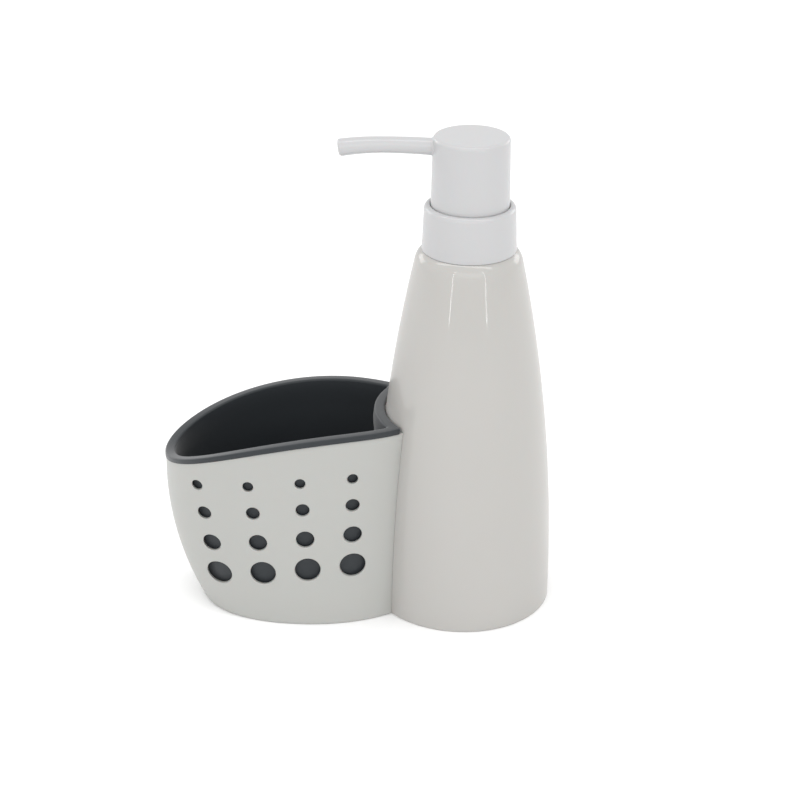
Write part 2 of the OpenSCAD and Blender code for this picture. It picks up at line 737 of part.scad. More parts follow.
// Stations along the spout as [distance from the pump axis, radius]
function root_stations() = concat(
    [[head_top_r - head_wall / 2, spout_root_d / 2 + spout_fillet]],
    [for (a = [0, 22.5, 45, 90])
        [head_top_r + spout_fillet * sin(a), spout_r(head_top_r) + spout_fillet * (1 - sin(a))]]);
function body_stations() = [for (i = [1:spout_rings])
    let(x = blend(head_top_r + spout_fillet, spout_reach - spout_round, i / spout_rings))
    [x, spout_r(x)]];
function tip_stations() = [for (a = [30, 60, 90])
    [spout_reach - spout_round * (1 - sin(a)), spout_tip_d / 2 - spout_round * (1 - cos(a))]];

// Skin over a list of stations: each is a ring square to the middle line
module spout_skin(stations) {
    n = spout_sides;
    last = len(stations) - 1;
    polyhedron(
        points = [for (s = stations) for (k = [0:n - 1])
            let(b = 360 * k / n, up = s[1] * sin(b), lean = spout_lean(s[0]))
            [-s[0] - up * sin(lean), s[1] * cos(b), spout_mid_z(s[0]) + up * cos(lean)]],
        faces = concat(
            [[for (k = [n - 1:-1:0]) k]],
            [for (i = [0:last - 1]) for (k = [0:n - 1])
                [i * n + k, i * n + (k + 1) % n, (i + 1) * n + (k + 1) % n]],
            [for (i = [0:last - 1]) for (k = [0:n - 1])
                [i * n + k, (i + 1) * n + (k + 1) % n, (i + 1) * n + k]],
            [[for (k = [0:n - 1]) last * n + k]]
        )
    );
}

module pump_head() {
    color("#e0e0e2") difference() {
        union() {
            rotate_extrude() polygon(concat(
                [[head_r - head_wall, head_z], [head_r, head_z]],
                arc(head_top_r - head_round, head_top_z - head_round, head_round, 0, 90),
                [[0, head_top_z], [0, roof_z], [head_top_r - head_wall, roof_z]]
            ));
            spout_skin(concat(root_stations(), body_stations(), tip_stations()));
        }
        spout_skin([for (i = [0:spout_rings])
            [blend(head_top_r - 2 * head_wall, spout_reach + spout_tip_d, i / spout_rings), channel_r]]);
    }
}

module head_insert() {
    tube_r = channel_r + insert_wall;
    top_z = min(spout_z + tube_r + slip_gap, roof_z - seat_gap);
    color("#e6e6e6") difference() {
        union() {
            translate([0, 0, insert_z]) cylinder(h = top_z - insert_z, r = socket_r);
            translate([tube_recess - insert_r, 0, spout_z]) rotate([0, 90, 0])
                cylinder(h = insert_r - tube_recess, r = tube_r, $fn = 48);
            for (i = [0:ribs - 1]) rotate([0, 0, 360 * (i + 0.5) / ribs])
                translate([0, -rib_t / 2, top_z - rib_h]) cube([insert_r, rib_t, rib_h]);
        }
        translate([0, 0, insert_z - cut])
            cylinder(h = stem_top_z - insert_z + cut + seat_gap, r = socket_bore_r);
        translate([0, 0, stem_top_z - cut])
            cylinder(h = spout_z - stem_top_z + cut, r = stem_bore_r);
        translate([-insert_r - cut, 0, spout_z]) rotate([0, 90, 0])
            cylinder(h = insert_r + cut, r = channel_r, $fn = 48);
    }
}

bottle();
bottle_base();
caddy_shell();
caddy_liner();
collar_sleeve();
screw_cap();
neck_gasket();
pump_housing();
housing_cap();
return_spring();
pump_stem();
stem_plug();
piston();
ball_cage();
inlet_ball();
dip_tube();
pump_head();
head_insert();
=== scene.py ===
"""Looks of a soap pump bottle with a caddy that hugs its side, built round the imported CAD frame.

Everything is in metres, in the frame's own axes: the pump axis is Z, the caddy runs out along -X
and the base rests on z = 0.
"""
import logging
import math
from dataclasses import dataclass, field
from enum import Enum
from itertools import product
from typing import Callable, Iterable, Sequence

import bmesh
import bpy
import numpy as np
from mathutils import Matrix, Vector


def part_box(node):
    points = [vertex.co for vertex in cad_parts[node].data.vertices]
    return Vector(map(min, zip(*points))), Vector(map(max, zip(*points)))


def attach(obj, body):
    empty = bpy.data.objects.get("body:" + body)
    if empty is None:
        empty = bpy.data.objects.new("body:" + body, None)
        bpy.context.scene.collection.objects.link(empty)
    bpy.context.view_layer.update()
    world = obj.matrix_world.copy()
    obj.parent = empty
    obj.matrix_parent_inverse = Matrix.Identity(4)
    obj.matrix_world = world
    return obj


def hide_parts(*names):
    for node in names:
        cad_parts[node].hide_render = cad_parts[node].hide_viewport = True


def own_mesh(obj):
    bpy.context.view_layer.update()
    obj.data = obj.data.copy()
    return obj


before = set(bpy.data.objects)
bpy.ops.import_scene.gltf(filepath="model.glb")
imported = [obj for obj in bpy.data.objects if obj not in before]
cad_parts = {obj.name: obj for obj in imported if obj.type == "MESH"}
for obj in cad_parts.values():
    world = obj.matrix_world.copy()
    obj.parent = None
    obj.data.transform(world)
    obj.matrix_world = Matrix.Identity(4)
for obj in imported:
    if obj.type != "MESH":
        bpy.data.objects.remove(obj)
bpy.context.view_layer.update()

MM = 0.001
Pair = tuple[float, float]
Triple = tuple[float, float, float]
RingPlace = tuple[float, float, float, float, float, float]
LOG = logging.getLogger("soap_pump_caddy")

# Where the loops of a filled window lie, from its edge at 0 to the hole in it at 1.
LACE_SHARES = (0.3, 0.6, 0.85, 0.97, 1.0)
# How many times a span is halved to find a place on a wall.
SEARCH_STEPS = 32
# Points nearer to one another than this are welded.
WELD_GAP = 0.001 * MM
# The point that most lamps face.
OBJECT_MIDDLE = (-0.04, 0, 0.1)


class Slot(Enum):
    """The record's material slots that the pieces take their finish from."""

    BOTTLE = "bottle_gloss"
    SHELL = "shell_satin"
    LINER = "liner_rubber"
    PUMP = "pump_white"
    ENGINE = "engine_plastic"
    SEAL = "seal_soft"
    SPRING = "spring_steel"
    BALL = "ball_glass"
    TUBE = "tube_clear"


class Body(Enum):
    """The moving bodies of the frame."""

    HOLDER = "holder"
    LINER = "liner"
    PUMP = "pump"
    CLOSURE = "closure"
    PLUNGER = "plunger"


@dataclass(frozen=True)
class Finish:
    """A moulded, wound or pressed surface with fine grain and a slight unevenness of colour.

    Colours are linear. Grain and mottle sizes are lengths over the surface.
    """

    slot: Slot
    colour: Triple
    shade: Triple
    roughness: float
    rough_spread: float = 0.04
    mottle_size: float = 30 * MM
    mottle_detail: float = 3.0
    grain_size: float = 0.5 * MM
    grain_detail: float = 4.0
    grain_depth: float = 0.01 * MM
    specular: float = 0.5
    coat: float = 0.0
    coat_roughness: float = 0.05
    coat_ior: float = 1.5
    sheen: float = 0.0
    metallic: float = 0.0
    transmission: float = 0.0
    subsurface: float = 0.0
    subsurface_depth: float = 2 * MM
    ior: float = 1.5

    def material(self) -> bpy.types.Material:
        """Makes the finish's node material, once for the whole scene.

        Returns:
            The material, named after its slot.
        """
        found = bpy.data.materials.get(self.slot.value)
        if found is not None and found.get("made_here"):
            return found
        made = bpy.data.materials.new(self.slot.value)
        made["made_here"] = True
        made.use_nodes = True
        nodes, links = made.node_tree.nodes, made.node_tree.links
        shader = nodes["Principled BSDF"]
        place = nodes.new("ShaderNodeTexCoord").outputs["Object"]
        mottle = self._noise(nodes, links, place, self.mottle_size, self.mottle_detail)
        grain = self._noise(nodes, links, place, self.grain_size, self.grain_detail)

        tint = nodes.new("ShaderNodeMix")
        tint.data_type = "RGBA"
        tint.inputs["A"].default_value = (*self.shade, 1)
        tint.inputs["B"].default_value = (*self.colour, 1)
        links.new(mottle, tint.inputs["Factor"])
        links.new(tint.outputs["Result"], shader.inputs["Base Color"])

        rough = nodes.new("ShaderNodeMapRange")
        rough.inputs["To Min"].default_value = self.roughness - self.rough_spread
        rough.inputs["To Max"].default_value = self.roughness + self.rough_spread
        links.new(grain, rough.inputs["Value"])
        links.new(rough.outputs["Result"], shader.inputs["Roughness"])

        bump = nodes.new("ShaderNodeBump")
        bump.inputs["Distance"].default_value = self.grain_depth
        links.new(grain, bump.inputs["Height"])
        links.new(bump.outputs["Normal"], shader.inputs["Normal"])

        uniform = {
            "Specular IOR Level": self.specular,
            "Coat Weight": self.coat,
            "Coat Roughness": self.coat_roughness,
            "Coat IOR": self.coat_ior,
            "Sheen Weight": self.sheen,
            "Metallic": self.metallic,
            "Transmission Weight": self.transmission,
            "Subsurface Weight": self.subsurface,
            "Subsurface Scale": self.subsurface_depth,
            "IOR": self.ior,
        }
        for socket, value in uniform.items():
            shader.inputs[socket].default_value = value
        return made

    @staticmethod
    def _noise(
        nodes: bpy.types.Nodes,
        links: bpy.types.NodeLinks,
        place: bpy.types.NodeSocket,
        size: float,
        detail: float,
    ) -> bpy.types.NodeSocket:
        """Adds a noise texture whose blotches are about the given size.

        Args:
            nodes: The material's nodes.
            links: The material's links.
            place: The socket that gives the surface point.
            size: Size of a blotch.
            detail: Octaves of finer noise.

        Returns:
            The noise's value socket.
        """
        noise = nodes.new("ShaderNodeTexNoise")
        noise.inputs["Scale"].default_value = 1 / size
        noise.inputs["Detail"].default_value = detail
        links.new(place, noise.inputs["Vector"])
        return noise.outputs["Fac"]


BOTTLE_GLOSS = Finish(
    Slot.BOTTLE, (0.430, 0.420, 0.402), (0.418, 0.408, 0.390), 0.3,
    rough_spread=0.02, mottle_size=60 * MM, grain_size=1.2 * MM, grain_depth=0.004 * MM,
    specular=0.15, coat=0.18, coat_roughness=0.05, coat_ior=2.5, subsurface=0.05,
)
SHELL_SATIN = Finish(
    Slot.SHELL, (0.405, 0.407, 0.389), (0.395, 0.397, 0.379), 0.42,
    mottle_size=50 * MM, grain_size=0.35 * MM, grain_depth=0.010 * MM, subsurface=0.05,
)
LINER_RUBBER = Finish(
    Slot.LINER, (0.016, 0.020, 0.024), (0.013, 0.017, 0.021), 0.5,
    rough_spread=0.06, mottle_size=12 * MM, grain_size=0.3 * MM, grain_depth=0.02 * MM,
    coat=0.15, coat_roughness=0.5, sheen=0.3, ior=1.36,
)
PUMP_WHITE = Finish(
    Slot.PUMP, (0.468, 0.468, 0.474), (0.457, 0.457, 0.463), 0.34,
    mottle_size=40 * MM, grain_size=0.4 * MM, grain_depth=0.005 * MM,
    specular=0.25, coat=0.14, coat_roughness=0.1, coat_ior=2.5, subsurface=0.05,
)
ENGINE_PLASTIC = Finish(
    Slot.ENGINE, (0.60, 0.60, 0.575), (0.57, 0.57, 0.545), 0.38,
    mottle_size=8 * MM, grain_size=0.3 * MM, grain_depth=0.005 * MM, subsurface=0.2,
)
SEAL_SOFT = Finish(
    Slot.SEAL, (0.56, 0.545, 0.50), (0.53, 0.515, 0.47), 0.6,
    mottle_size=5 * MM, grain_size=0.2 * MM, grain_depth=0.01 * MM, subsurface=0.15,
)
SPRING_STEEL = Finish(
    Slot.SPRING, (0.62, 0.62, 0.61), (0.50, 0.50, 0.50), 0.24,
    mottle_size=2 * MM, grain_size=0.08 * MM, grain_depth=0.003 * MM, metallic=1.0,
)
BALL_GLASS = Finish(
    Slot.BALL, (0.80, 0.87, 0.86), (0.76, 0.84, 0.83), 0.06,
    rough_spread=0.02, mottle_size=2 * MM, grain_size=0.2 * MM, grain_depth=0.001 * MM,
    transmission=0.75,
)
TUBE_CLEAR = Finish(
    Slot.TUBE, (0.86, 0.87, 0.86), (0.82, 0.83, 0.82), 0.24,
    mottle_size=10 * MM, grain_size=0.3 * MM, grain_depth=0.004 * MM,
    transmission=0.55, subsurface=0.1,
)


def arc(centre: Pair, radius: float, start: float, end: float, steps: int) -> list[Pair]:
    """Points of a circular arc in a profile.

    Args:
        centre: The arc's centre as radius and height.
        radius: The arc's radius.
        start: First angle in degrees.
        end: Last angle in degrees.
        steps: Number of steps.

    Returns:
        The points, ends included.
    """
    angles = np.radians(np.linspace(start, end, steps + 1))
    return [(centre[0] + radius * math.cos(a), centre[1] + radius * math.sin(a)) for a in angles]


def arc_sag(radius: float, reach: float) -> float:
    """How far a circle of this radius falls away from its tangent at a distance."""
    return radius - math.sqrt(radius * radius - reach * reach)


def lerp(a: float, b: float, share: float) -> float:
    """The value a share of the way from a to b."""
    return a + (b - a) * share


def ease(share: float) -> float:
    """A share from 0 to 1 that starts and ends gently."""
    return share * share * (3 - 2 * share)


def halve(low: float, high: float, is_before: Callable[[float], bool]) -> float:
    """Finds where a test turns from true to false, by halving the span again and again.

    Args:
        low: A value for which the test is true.
        high: A value for which it is false.
        is_before: The test.

    Returns:
        The value where it turns.
    """
    for _ in range(SEARCH_STEPS):
        middle = (low + high) / 2
        if is_before(middle):
            low = middle
        else:
            high = middle
    return (low + high) / 2


def rounding(radius: float, steps: int) -> list[Pair]:
    """Steps round a rounded edge, from one of its two faces to the other.

    Args:
        radius: The edge's radius.
        steps: Number of steps.

    Returns:
        How far each step lies short of the far face, and in from the near face.
    """
    turns = [math.radians(a) for a in np.linspace(0, 90, steps + 1)]
    return [(radius * (1 - math.sin(t)), radius * (1 - math.cos(t))) for t in turns]


def circle(x: float, y: float, z: float, radius: float, sides: int) -> list[Triple]:
    """Points of a level circle about a point."""
    turns = np.arange(sides) * 2 * math.pi / sides
    return [(x + radius * math.cos(a), y + radius * math.sin(a), z) for a in turns]


def stretches(marks: Sequence[float], counts: Sequence[int]) -> list[float]:
    """Even steps from each mark to the next.

    Args:
        marks: The marks, in order.
        counts: Number of steps from each mark to the next.

    Returns:
        The steps, the first mark included.
    """
    found = [marks[0]]
    for low, high, count in zip(marks, marks[1:], counts):
        found += list(np.linspace(low, high, count + 1)[1:])
    return found


def window_walk(rows: int, columns: int) -> list[tuple[int, int]]:
    """Steps round a window in a grid, from its first corner along its lowest row.

    Args:
        rows: Height of the window in grid steps.
        columns: Width of the window in grid steps.

    Returns:
        Row and column of each step, counted from the first corner.
    """
    walk = [(0, i) for i in range(columns)]
    walk += [(i, columns) for i in range(rows)]
    walk += [(rows, columns - i) for i in range(columns)]
    return walk + [(rows - i, 0) for i in range(rows)]


def evened(turns: np.ndarray, weight: float) -> np.ndarray:
    """Draws directions round a centre towards even steps.

    Args:
        turns: The directions, in radians.
        weight: Weight of the even steps against the given ones.

    Returns:
        The directions between the two.
    """
    turns = np.unwrap(turns)
    even = turns[0] + np.linspace(0, turns[-1] - turns[0], len(turns))
    return (turns + weight * even) / (1 + weight)


@dataclass
class Draft:
    """Points and faces of one piece while it is being made."""

    points: list[Triple] = field(default_factory=list)
    faces: list[tuple[int, ...]] = field(default_factory=list)

    def add(self, points: Iterable[Sequence[float]]) -> list[int]:
        """Adds points.

        Args:
            points: The new points.

        Returns:
            Their numbers.
        """
        first = len(self.points)
        self.points.extend((float(p[0]), float(p[1]), float(p[2])) for p in points)
        return list(range(first, len(self.points)))

    def band(self, low: Sequence[int], high: Sequence[int]) -> None:
        """Joins two rings of points by a band of four-sided faces.

        Args:
            low: Numbers of the first ring's points.
            high: Numbers of the second ring's points, as many.
        """
        for i in range(len(low)):
            j = (i + 1) % len(low)
            self.faces.append((low[i], low[j], high[j], high[i]))

    def bands(self, rings: Sequence[Sequence[int]]) -> None:
        """Joins each ring to the next by a band."""
        for low, high in zip(rings, rings[1:]):
            self.band(low, high)

    def grow(self, last: Sequence[int], points: Iterable[Sequence[float]]) -> list[int]:
        """Adds a ring and joins it to the last one by a band.

        Args:
            last: Numbers of the last ring's points.
            points: The new ring's points, as many.

        Returns:
            Their numbers.
        """
        ring = self.add(points)
        self.band(last, ring)
        return ring

    def cap(self, ring: Sequence[int]) -> None:
        """Closes a ring with one flat face."""
        self.faces.append(tuple(int(i) for i in ring))

    def fan(self, ring: Sequence[int], centre: Triple) -> None:
        """Closes a ring with a fan of faces to a centre point.

        Args:
            ring: Numbers of the ring's points.
            centre: The centre point.
        """
        hub = self.add([centre])[0]
        for i in range(len(ring)):
            self.faces.append((ring[i], ring[(i + 1) % len(ring)], hub))

    def mesh(self, name: str) -> bpy.types.Mesh:
        """Turns the draft into a mesh.

        Args:
            name: The mesh's name.

        Returns:
            The mesh, with points that coincide welded and every face turned outward.
        """
        mesh = bpy.data.meshes.new(name)
        mesh.from_pydata(self.points, [], self.faces)
        work = bmesh.new()
        work.from_mesh(mesh)
        bmesh.ops.remove_doubles(work, verts=work.verts, dist=WELD_GAP)
        bmesh.ops.recalc_face_normals(work, faces=work.faces)
        work.to_mesh(mesh)
        work.free()
        return mesh

    def piece(self, name: str, finish: Finish, body: Body, sharp: float = 40.0) -> bpy.types.Object:
        """Turns the draft into a smooth-shaded piece on a body, with its finish.

        Args:
            name: The piece's name.
            finish: Its finish.
            body: The body that it rides on.
            sharp: Angle in degrees above which an edge stays crisp.

        Returns:
            The piece.
        """
        mesh = self.mesh(name)
        smooth(mesh, sharp)
        made = add_object(name, mesh)
        dress(made, finish)
        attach(made, body.value)
        LOG.info("%s: %d faces on %s", name, len(mesh.polygons), body.value)
        return made


def add_object(name: str, data: bpy.types.ID) -> bpy.types.Object:
    """Puts an object into the scene.

    Args:
        name: The object's name.
        data: Its mesh, camera or light.

    Returns:
        The object.
    """
    made = bpy.data.objects.new(name, data)
    bpy.context.scene.collection.objects.link(made)
    return made


def smooth(mesh: bpy.types.Mesh, sharp: float) -> None:
    """Shades a mesh smooth, with crisp edges above an angle in degrees."""
    mesh.polygons.foreach_set("use_smooth", [True] * len(mesh.polygons))
    mesh.set_sharp_from_angle(angle=math.radians(sharp))


def dress(piece: bpy.types.Object, finish: Finish) -> None:
    """Gives a piece its finish and names the slot that it stands for.

    Args:
        piece: The piece.
        finish: Its finish.
    """
    piece.data.materials.clear()
    piece.data.materials.append(finish.material())


def revolve(profile: Sequence[Pair], sides: int) -> Draft:
    """Turns a closed profile about the pump axis.

    Args:
        profile: Points as radius and height.
        sides: Number of sides of the turned form.

    Returns:
        The draft of the turned form.
    """
    draft = Draft()
    rings = [draft.add(circle(0, 0, z, r, sides)) for r, z in profile]
    draft.bands(rings)
    draft.band(rings[-1], rings[0])
    return draft


def lace(
    draft: Draft,
    edge: Sequence[int],
    edge_uv: np.ndarray,
    ring_uv: np.ndarray,
    surface: Callable[[float, float], Triple],
    shares: Sequence[float],
) -> list[int]:
    """Fills a window in a surface up to a round hole, with faces that flow from one to the other.

    Args:
        draft: The draft that the window is in.
        edge: Numbers of the points round the window.
        edge_uv: Their places on the surface.
        ring_uv: The hole's places on the surface, one for each point of the edge.
        surface: Gives the point at a place on the surface.
        shares: Where the loops lie between the edge at 0 and the hole at 1.

    Returns:
        Numbers of the hole's points.
    """
    last = list(edge)
    for share in shares:
        places = edge_uv + (ring_uv - edge_uv) * share
        last = draft.grow(last, (surface(u, v) for u, v in places))
    return last


@dataclass
class BottleForm:
    """Outer form of the bottle, which the caddy follows."""

    foot_r: float = 38.5 * MM
    belly_z: float = 8 * MM
    shoulder_z: float = 157 * MM
    shoulder_r: float = 22.5 * MM
    shoulder_rise: float = 5.8 * MM

    def __post_init__(self) -> None:
        """Works out the flank's arc."""
        rise = self.shoulder_z - self.belly_z
        draw_in = self.foot_r - self.shoulder_r
        self.arc_r = (rise * rise + draw_in * draw_in) / (2 * draw_in)
        self.lean = math.degrees(math.asin(rise / self.arc_r))
        self.deck_z = self.shoulder_z + self.shoulder_rise

    def radius(self, z: float) -> float:
        """Radius of the flank at a height."""
        return self.foot_r - arc_sag(self.arc_r, max(0.0, z - self.belly_z))


@dataclass
class Bottle:
    """The bottle with its neck and thread."""

    form: BottleForm
    wall: float = 2.2 * MM
    foot_round: float = 0.7 * MM
    foot_flat: float = 5 * MM
    disc_t: float = 2.6 * MM
    neck_r: float = 10.9 * MM
    bore_r: float = 9 * MM
    neck_h: float = 14 * MM
    lip_round: float = 0.4 * MM
    neck_fillet: float = 0.8 * MM
    thread_r: float = 11.7 * MM
    thread_pitch: float = 3.2 * MM
    thread_turns: float = 1.6
    thread_w: float = 1.7 * MM
    thread_crest_w: float = 0.68 * MM
    thread_sink: float = 0.2 * MM
    thread_low_share: float = 1 / 3
    thread_fade_share: float = 1 / 12
    thread_turn_steps: int = 72
    flank_steps: int = 60
    inside_steps: int = 40
    round_steps: int = 12
    fillet_steps: int = 5
    lip_steps: int = 4
    sides: int = 256

    def profile(self) -> list[Pair]:
        """The bottle's section.

        Returns:
            Points as radius and height, up the outside and down the inside.
        """
        form, foot, fillet, lip = self.form, self.foot_round, self.neck_fillet, self.lip_round
        disc_r = form.foot_r - foot - self.foot_flat
        deck_z, top_z = form.deck_z, form.deck_z + self.neck_h
        lean = math.radians(form.lean)
        turn_r = form.shoulder_rise / (1 - math.sin(lean))
        turn = (form.shoulder_r - turn_r * math.cos(lean), deck_z - turn_r)
        flank = np.linspace(form.belly_z, form.shoulder_z, self.flank_steps)
        inside = np.linspace(form.shoulder_z - self.wall / 2, form.belly_z, self.inside_steps)
        points = [(disc_r, 0.0)]
        points += arc((form.foot_r - foot, foot), foot, -90, 0, self.round_steps)
        points += [(form.radius(z), z) for z in flank]
        points += arc(turn, turn_r, form.lean, 90, self.round_steps)[1:]
        points += arc((self.neck_r + fillet, deck_z + fillet), fillet, 270, 180, self.fillet_steps)
        points += arc((self.neck_r - lip, top_z - lip), lip, 0, 90, self.lip_steps)
        points += arc((self.bore_r + lip, top_z - lip), lip, 90, 180, self.lip_steps)
        points += [(self.bore_r, deck_z - self.wall)]
        points += [(form.radius(z) - self.wall, z) for z in inside]
        return points + [(disc_r, self.disc_t + self.wall)]

    def thread(self) -> Draft:
        """The neck's thread, a ridge that fades in and out at its ends.

        Returns:
            The draft of the ridge.
        """
        draft = Draft()
        steps = round(self.thread_turns * self.thread_turn_steps)
        low_z = self.form.deck_z + self.thread_low_share * self.neck_h
        root_r = self.neck_r - self.thread_sink
        root_half, crest_half = self.thread_w / 2, self.thread_crest_w / 2
        rows = []
        for i in range(steps + 1):
            share = i / steps
            turn = 2 * math.pi * self.thread_turns * share
            swell = min(1.0, min(share, 1 - share) / self.thread_fade_share)
            crest = lerp(self.neck_r, self.thread_r, swell)
            z = low_z + self.thread_pitch * self.thread_turns * share
            section = ((root_r, -root_half), (crest, -crest_half), (crest, crest_half), (root_r, root_half))
            rows.append(draft.add((r * math.cos(turn), r * math.sin(turn), z + dz) for r, dz in section))
        draft.bands(rows)
        draft.cap(rows[0])
        draft.cap(rows[-1])
        return draft

    def build(self) -> None:
        """Builds the bottle and its thread."""
        body = revolve(self.profile(), self.sides).piece("bottle_body", BOTTLE_GLOSS, Body.HOLDER)
        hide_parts("bottle")
        self.thread().piece("bottle_neck_thread", BOTTLE_GLOSS, Body.HOLDER, sharp=60)


@dataclass
class CaddyForm:
    """The boat-shaped outline of the caddy, its notch round the bottle and its rim.

    An outline angle of 0 points at the bottle and 180 at the bow's tip. Places on a wall are
    given by an outline angle, a height and how far the wall is inset from the outline.
    """

    bottle: BottleForm
    half_w: float = 33.5 * MM
    tip_base_x: float = 114 * MM
    tip_top_x: float = 128.6 * MM
    bow_z: float = 60 * MM
    beam_base_x: float = 66 * MM
    beam_top_x: float = 76 * MM
    swell_share: float = 0.03
    reach_base: float = 49.8 * MM
    reach_top: float = 65 * MM
    rim_z: float = 89 * MM
    rim_arc_r: float = 194 * MM
    rim_flat_x: float = 42 * MM
    meet_span: Pair = (10.0, 90.0)
    notch_steps: int = 28
    corner_steps: int = 6

    def __post_init__(self) -> None:
        """Works out the arc that the bow leans out along."""
        self.bow_fall = self.tip_top_x - self.tip_base_x
        self.bow_arc_r = (self.bow_z ** 2 + self.bow_fall ** 2) / (2 * self.bow_fall)

    def bow(self, z: float) -> float:
        """How upright the bow is at a height, from 0 at the base to 1."""
        return 1.0 if z >= self.bow_z else 1 - arc_sag(self.bow_arc_r, self.bow_z - z) / self.bow_fall

    def beam_x(self, z: float) -> float:
        """Distance from the pump axis to the widest place at a height."""
        return lerp(self.beam_base_x, self.beam_top_x, self.bow(z))

    def half_len(self, angle: float, z: float) -> float:
        """Length of one half of the outline, from its widest place to its end.

        Args:
            angle: An outline angle in that half.
            z: The height.

        Returns:
            The length.
        """
        if math.cos(math.radians(angle)) > 0:
            return lerp(self.reach_base, self.reach_top, self.bow(z))
        return lerp(self.tip_base_x, self.tip_top_x, self.bow(z)) - self.beam_x(z)

    def swell(self, a: float) -> Pair:
        """How much fuller than an ellipse the outline is.

        Args:
            a: The outline angle in radians.

        Returns:
            The swell and its slope.
        """
        if math.cos(a) > 0:
            return 1.0, 0.0
        return 1 + self.swell_share * math.sin(2 * a) ** 2, 2 * self.swell_share * math.sin(4 * a)

    def normal(self, angle: float, z: float) -> np.ndarray:
        """Direction that the outline faces.

        Args:
            angle: The outline angle.
            z: The height.

        Returns:
            The unit normal as x and y.
        """
        a = math.radians(angle)
        swell, slope = self.swell(a)
        n = np.array([
            self.half_w * (math.cos(a) * swell + math.sin(a) * slope),
            self.half_len(angle, z) * (math.sin(a) * swell - math.cos(a) * slope),
        ])
        return n / np.linalg.norm(n)

    def side(self, angle: float, z: float, inset: float) -> np.ndarray:
        """Point of the inset outline.

        Args:
            angle: The outline angle.
            z: The height.
            inset: Inset of the outline.

        Returns:
            The point as x and y.
        """
        a = math.radians(angle)
        swell, _ = self.swell(a)
        x = self.half_len(angle, z) * math.cos(a) * swell - self.beam_x(z)
        return np.array([x, self.half_w * math.sin(a) * swell]) - inset * self.normal(angle, z)

    def meet(self, z: float, inset: float, radius: float) -> float:
        """Outline angle where the inset outline meets a circle about the pump axis."""
        return halve(*self.meet_span, lambda a: np.linalg.norm(self.side(a, z, inset)) < radius)

    def rim_height(self, x: float) -> float:
        """Height of the rim at x."""
        return self.rim_z - arc_sag(self.rim_arc_r, max(0.0, -x - self.rim_flat_x))

    def level(self, angle: float, low_z: float, share: float, drop: float) -> float:
        """Height at an outline angle, a share of the way from low_z to the rim less a drop."""
        top = self.rim_height(self.side(angle, self.bow_z, 0)[0]) - drop
        return low_z + share * (top - low_z)

    def neck_part(
        self, z: float, inset: float, stand_off: float, corner: float,
    ) -> tuple[list[Triple], float]:
        """The stretch of a ring along the notch and round its corner.

        Args:
            z: The ring's height beside the bottle.
            inset: Inset of the outline.
            stand_off: Gap to the bottle.
            corner: Rounding of the corner.

        Returns:
            The points from the notch's middle on, and the outline angle where they end.
        """
        radius = self.bottle.radius(z) + stand_off
        meet = self.meet(z, inset + corner, radius + corner)
        centre = self.side(meet, z, inset + corner)
        notch = math.atan2(centre[1], centre[0])
        normal = self.normal(meet, z)
        out = math.atan2(normal[1], normal[0])
        back = notch - math.pi
        points = []
        for i in range(self.notch_steps):
            a = lerp(math.pi, notch, i / self.notch_steps)
            points.append((radius * math.cos(a), radius * math.sin(a), z))
        for i in range(self.corner_steps + 1):
            a = lerp(back, out, i / self.corner_steps)
            points.append((centre[0] + corner * math.cos(a), centre[1] + corner * math.sin(a), z))
        return points, meet

    def ring(
        self, low_z: float, share: float, drop: float, inset: float, stand_off: float, corner: float,
        angles: Sequence[float],
    ) -> list[Triple]:
        """A whole ring round the caddy, by the outline angles given as shares from corner to tip.

        Args:
            low_z: Height of the ring family's foot.
            share: Share of the way from there to the rim.
            drop: Drop below the rim.
            inset: Inset of the outline.
            stand_off: Gap to the bottle.
            corner: Rounding of the notch's corner.
            angles: Shares of the way from the corner to the tip.

        Returns:
            The ring's points, mirrored across the XZ plane.
        """
        z0 = low_z + share * (self.rim_z - drop - low_z)
        half, meet = self.neck_part(z0, inset, stand_off, corner)
        for s in angles:
            a = lerp(meet, 180, s)
            z = self.level(a, low_z, share, drop)
            x, y = self.side(a, z, inset)
            half.append((x, y, z))
        return half + [(x, -y, z) for x, y, z in half[-2:0:-1]]


@dataclass(frozen=True)
class Vent:
    """One vent hole: its column from the bottle, its row from the top and its side of the caddy."""

    column: int
    row: int
    mirrored: bool


@dataclass
class VentPattern:
    """Rows of holes that grow towards the base and follow the fall of the rim."""

    diameters: tuple[float, ...] = (4.5 * MM, 5.8 * MM, 7.7 * MM, 10.9 * MM)
    near_x: float = 47.4 * MM
    pitch_x: float = 21.9 * MM
    top_z: float = 69.1 * MM
    low_z: float = 27.9 * MM
    drop_shares: tuple[float, ...] = (0.0, 0.303, 0.644, 1.0)
    close_share: float = 0.0433
    fall_share: float = 0.0439
    fall_power: float = 1.7
    columns: int = 4
    rim_round: float = 0.55 * MM
    back_round: float = 0.2 * MM
    rim_steps: int = 5
    back_steps: int = 2

    def every(self) -> list[Vent]:
        """Every vent, column by column."""
        rows = range(len(self.diameters))
        return [Vent(*key) for key in product(range(self.columns), rows, (False, True))]

    def centre(self, vent: Vent) -> Pair:
        """Place of a vent's axis.

        Args:
            vent: The vent.

        Returns:
            Its distance from the pump axis along the caddy, and its height.
        """
        x = self.near_x + self.pitch_x * vent.column * (1 - self.close_share * vent.row)
        fall = self.fall_share * self.pitch_x * vent.column ** self.fall_power
        return x, lerp(self.top_z, self.low_z, self.drop_shares[vent.row]) - fall


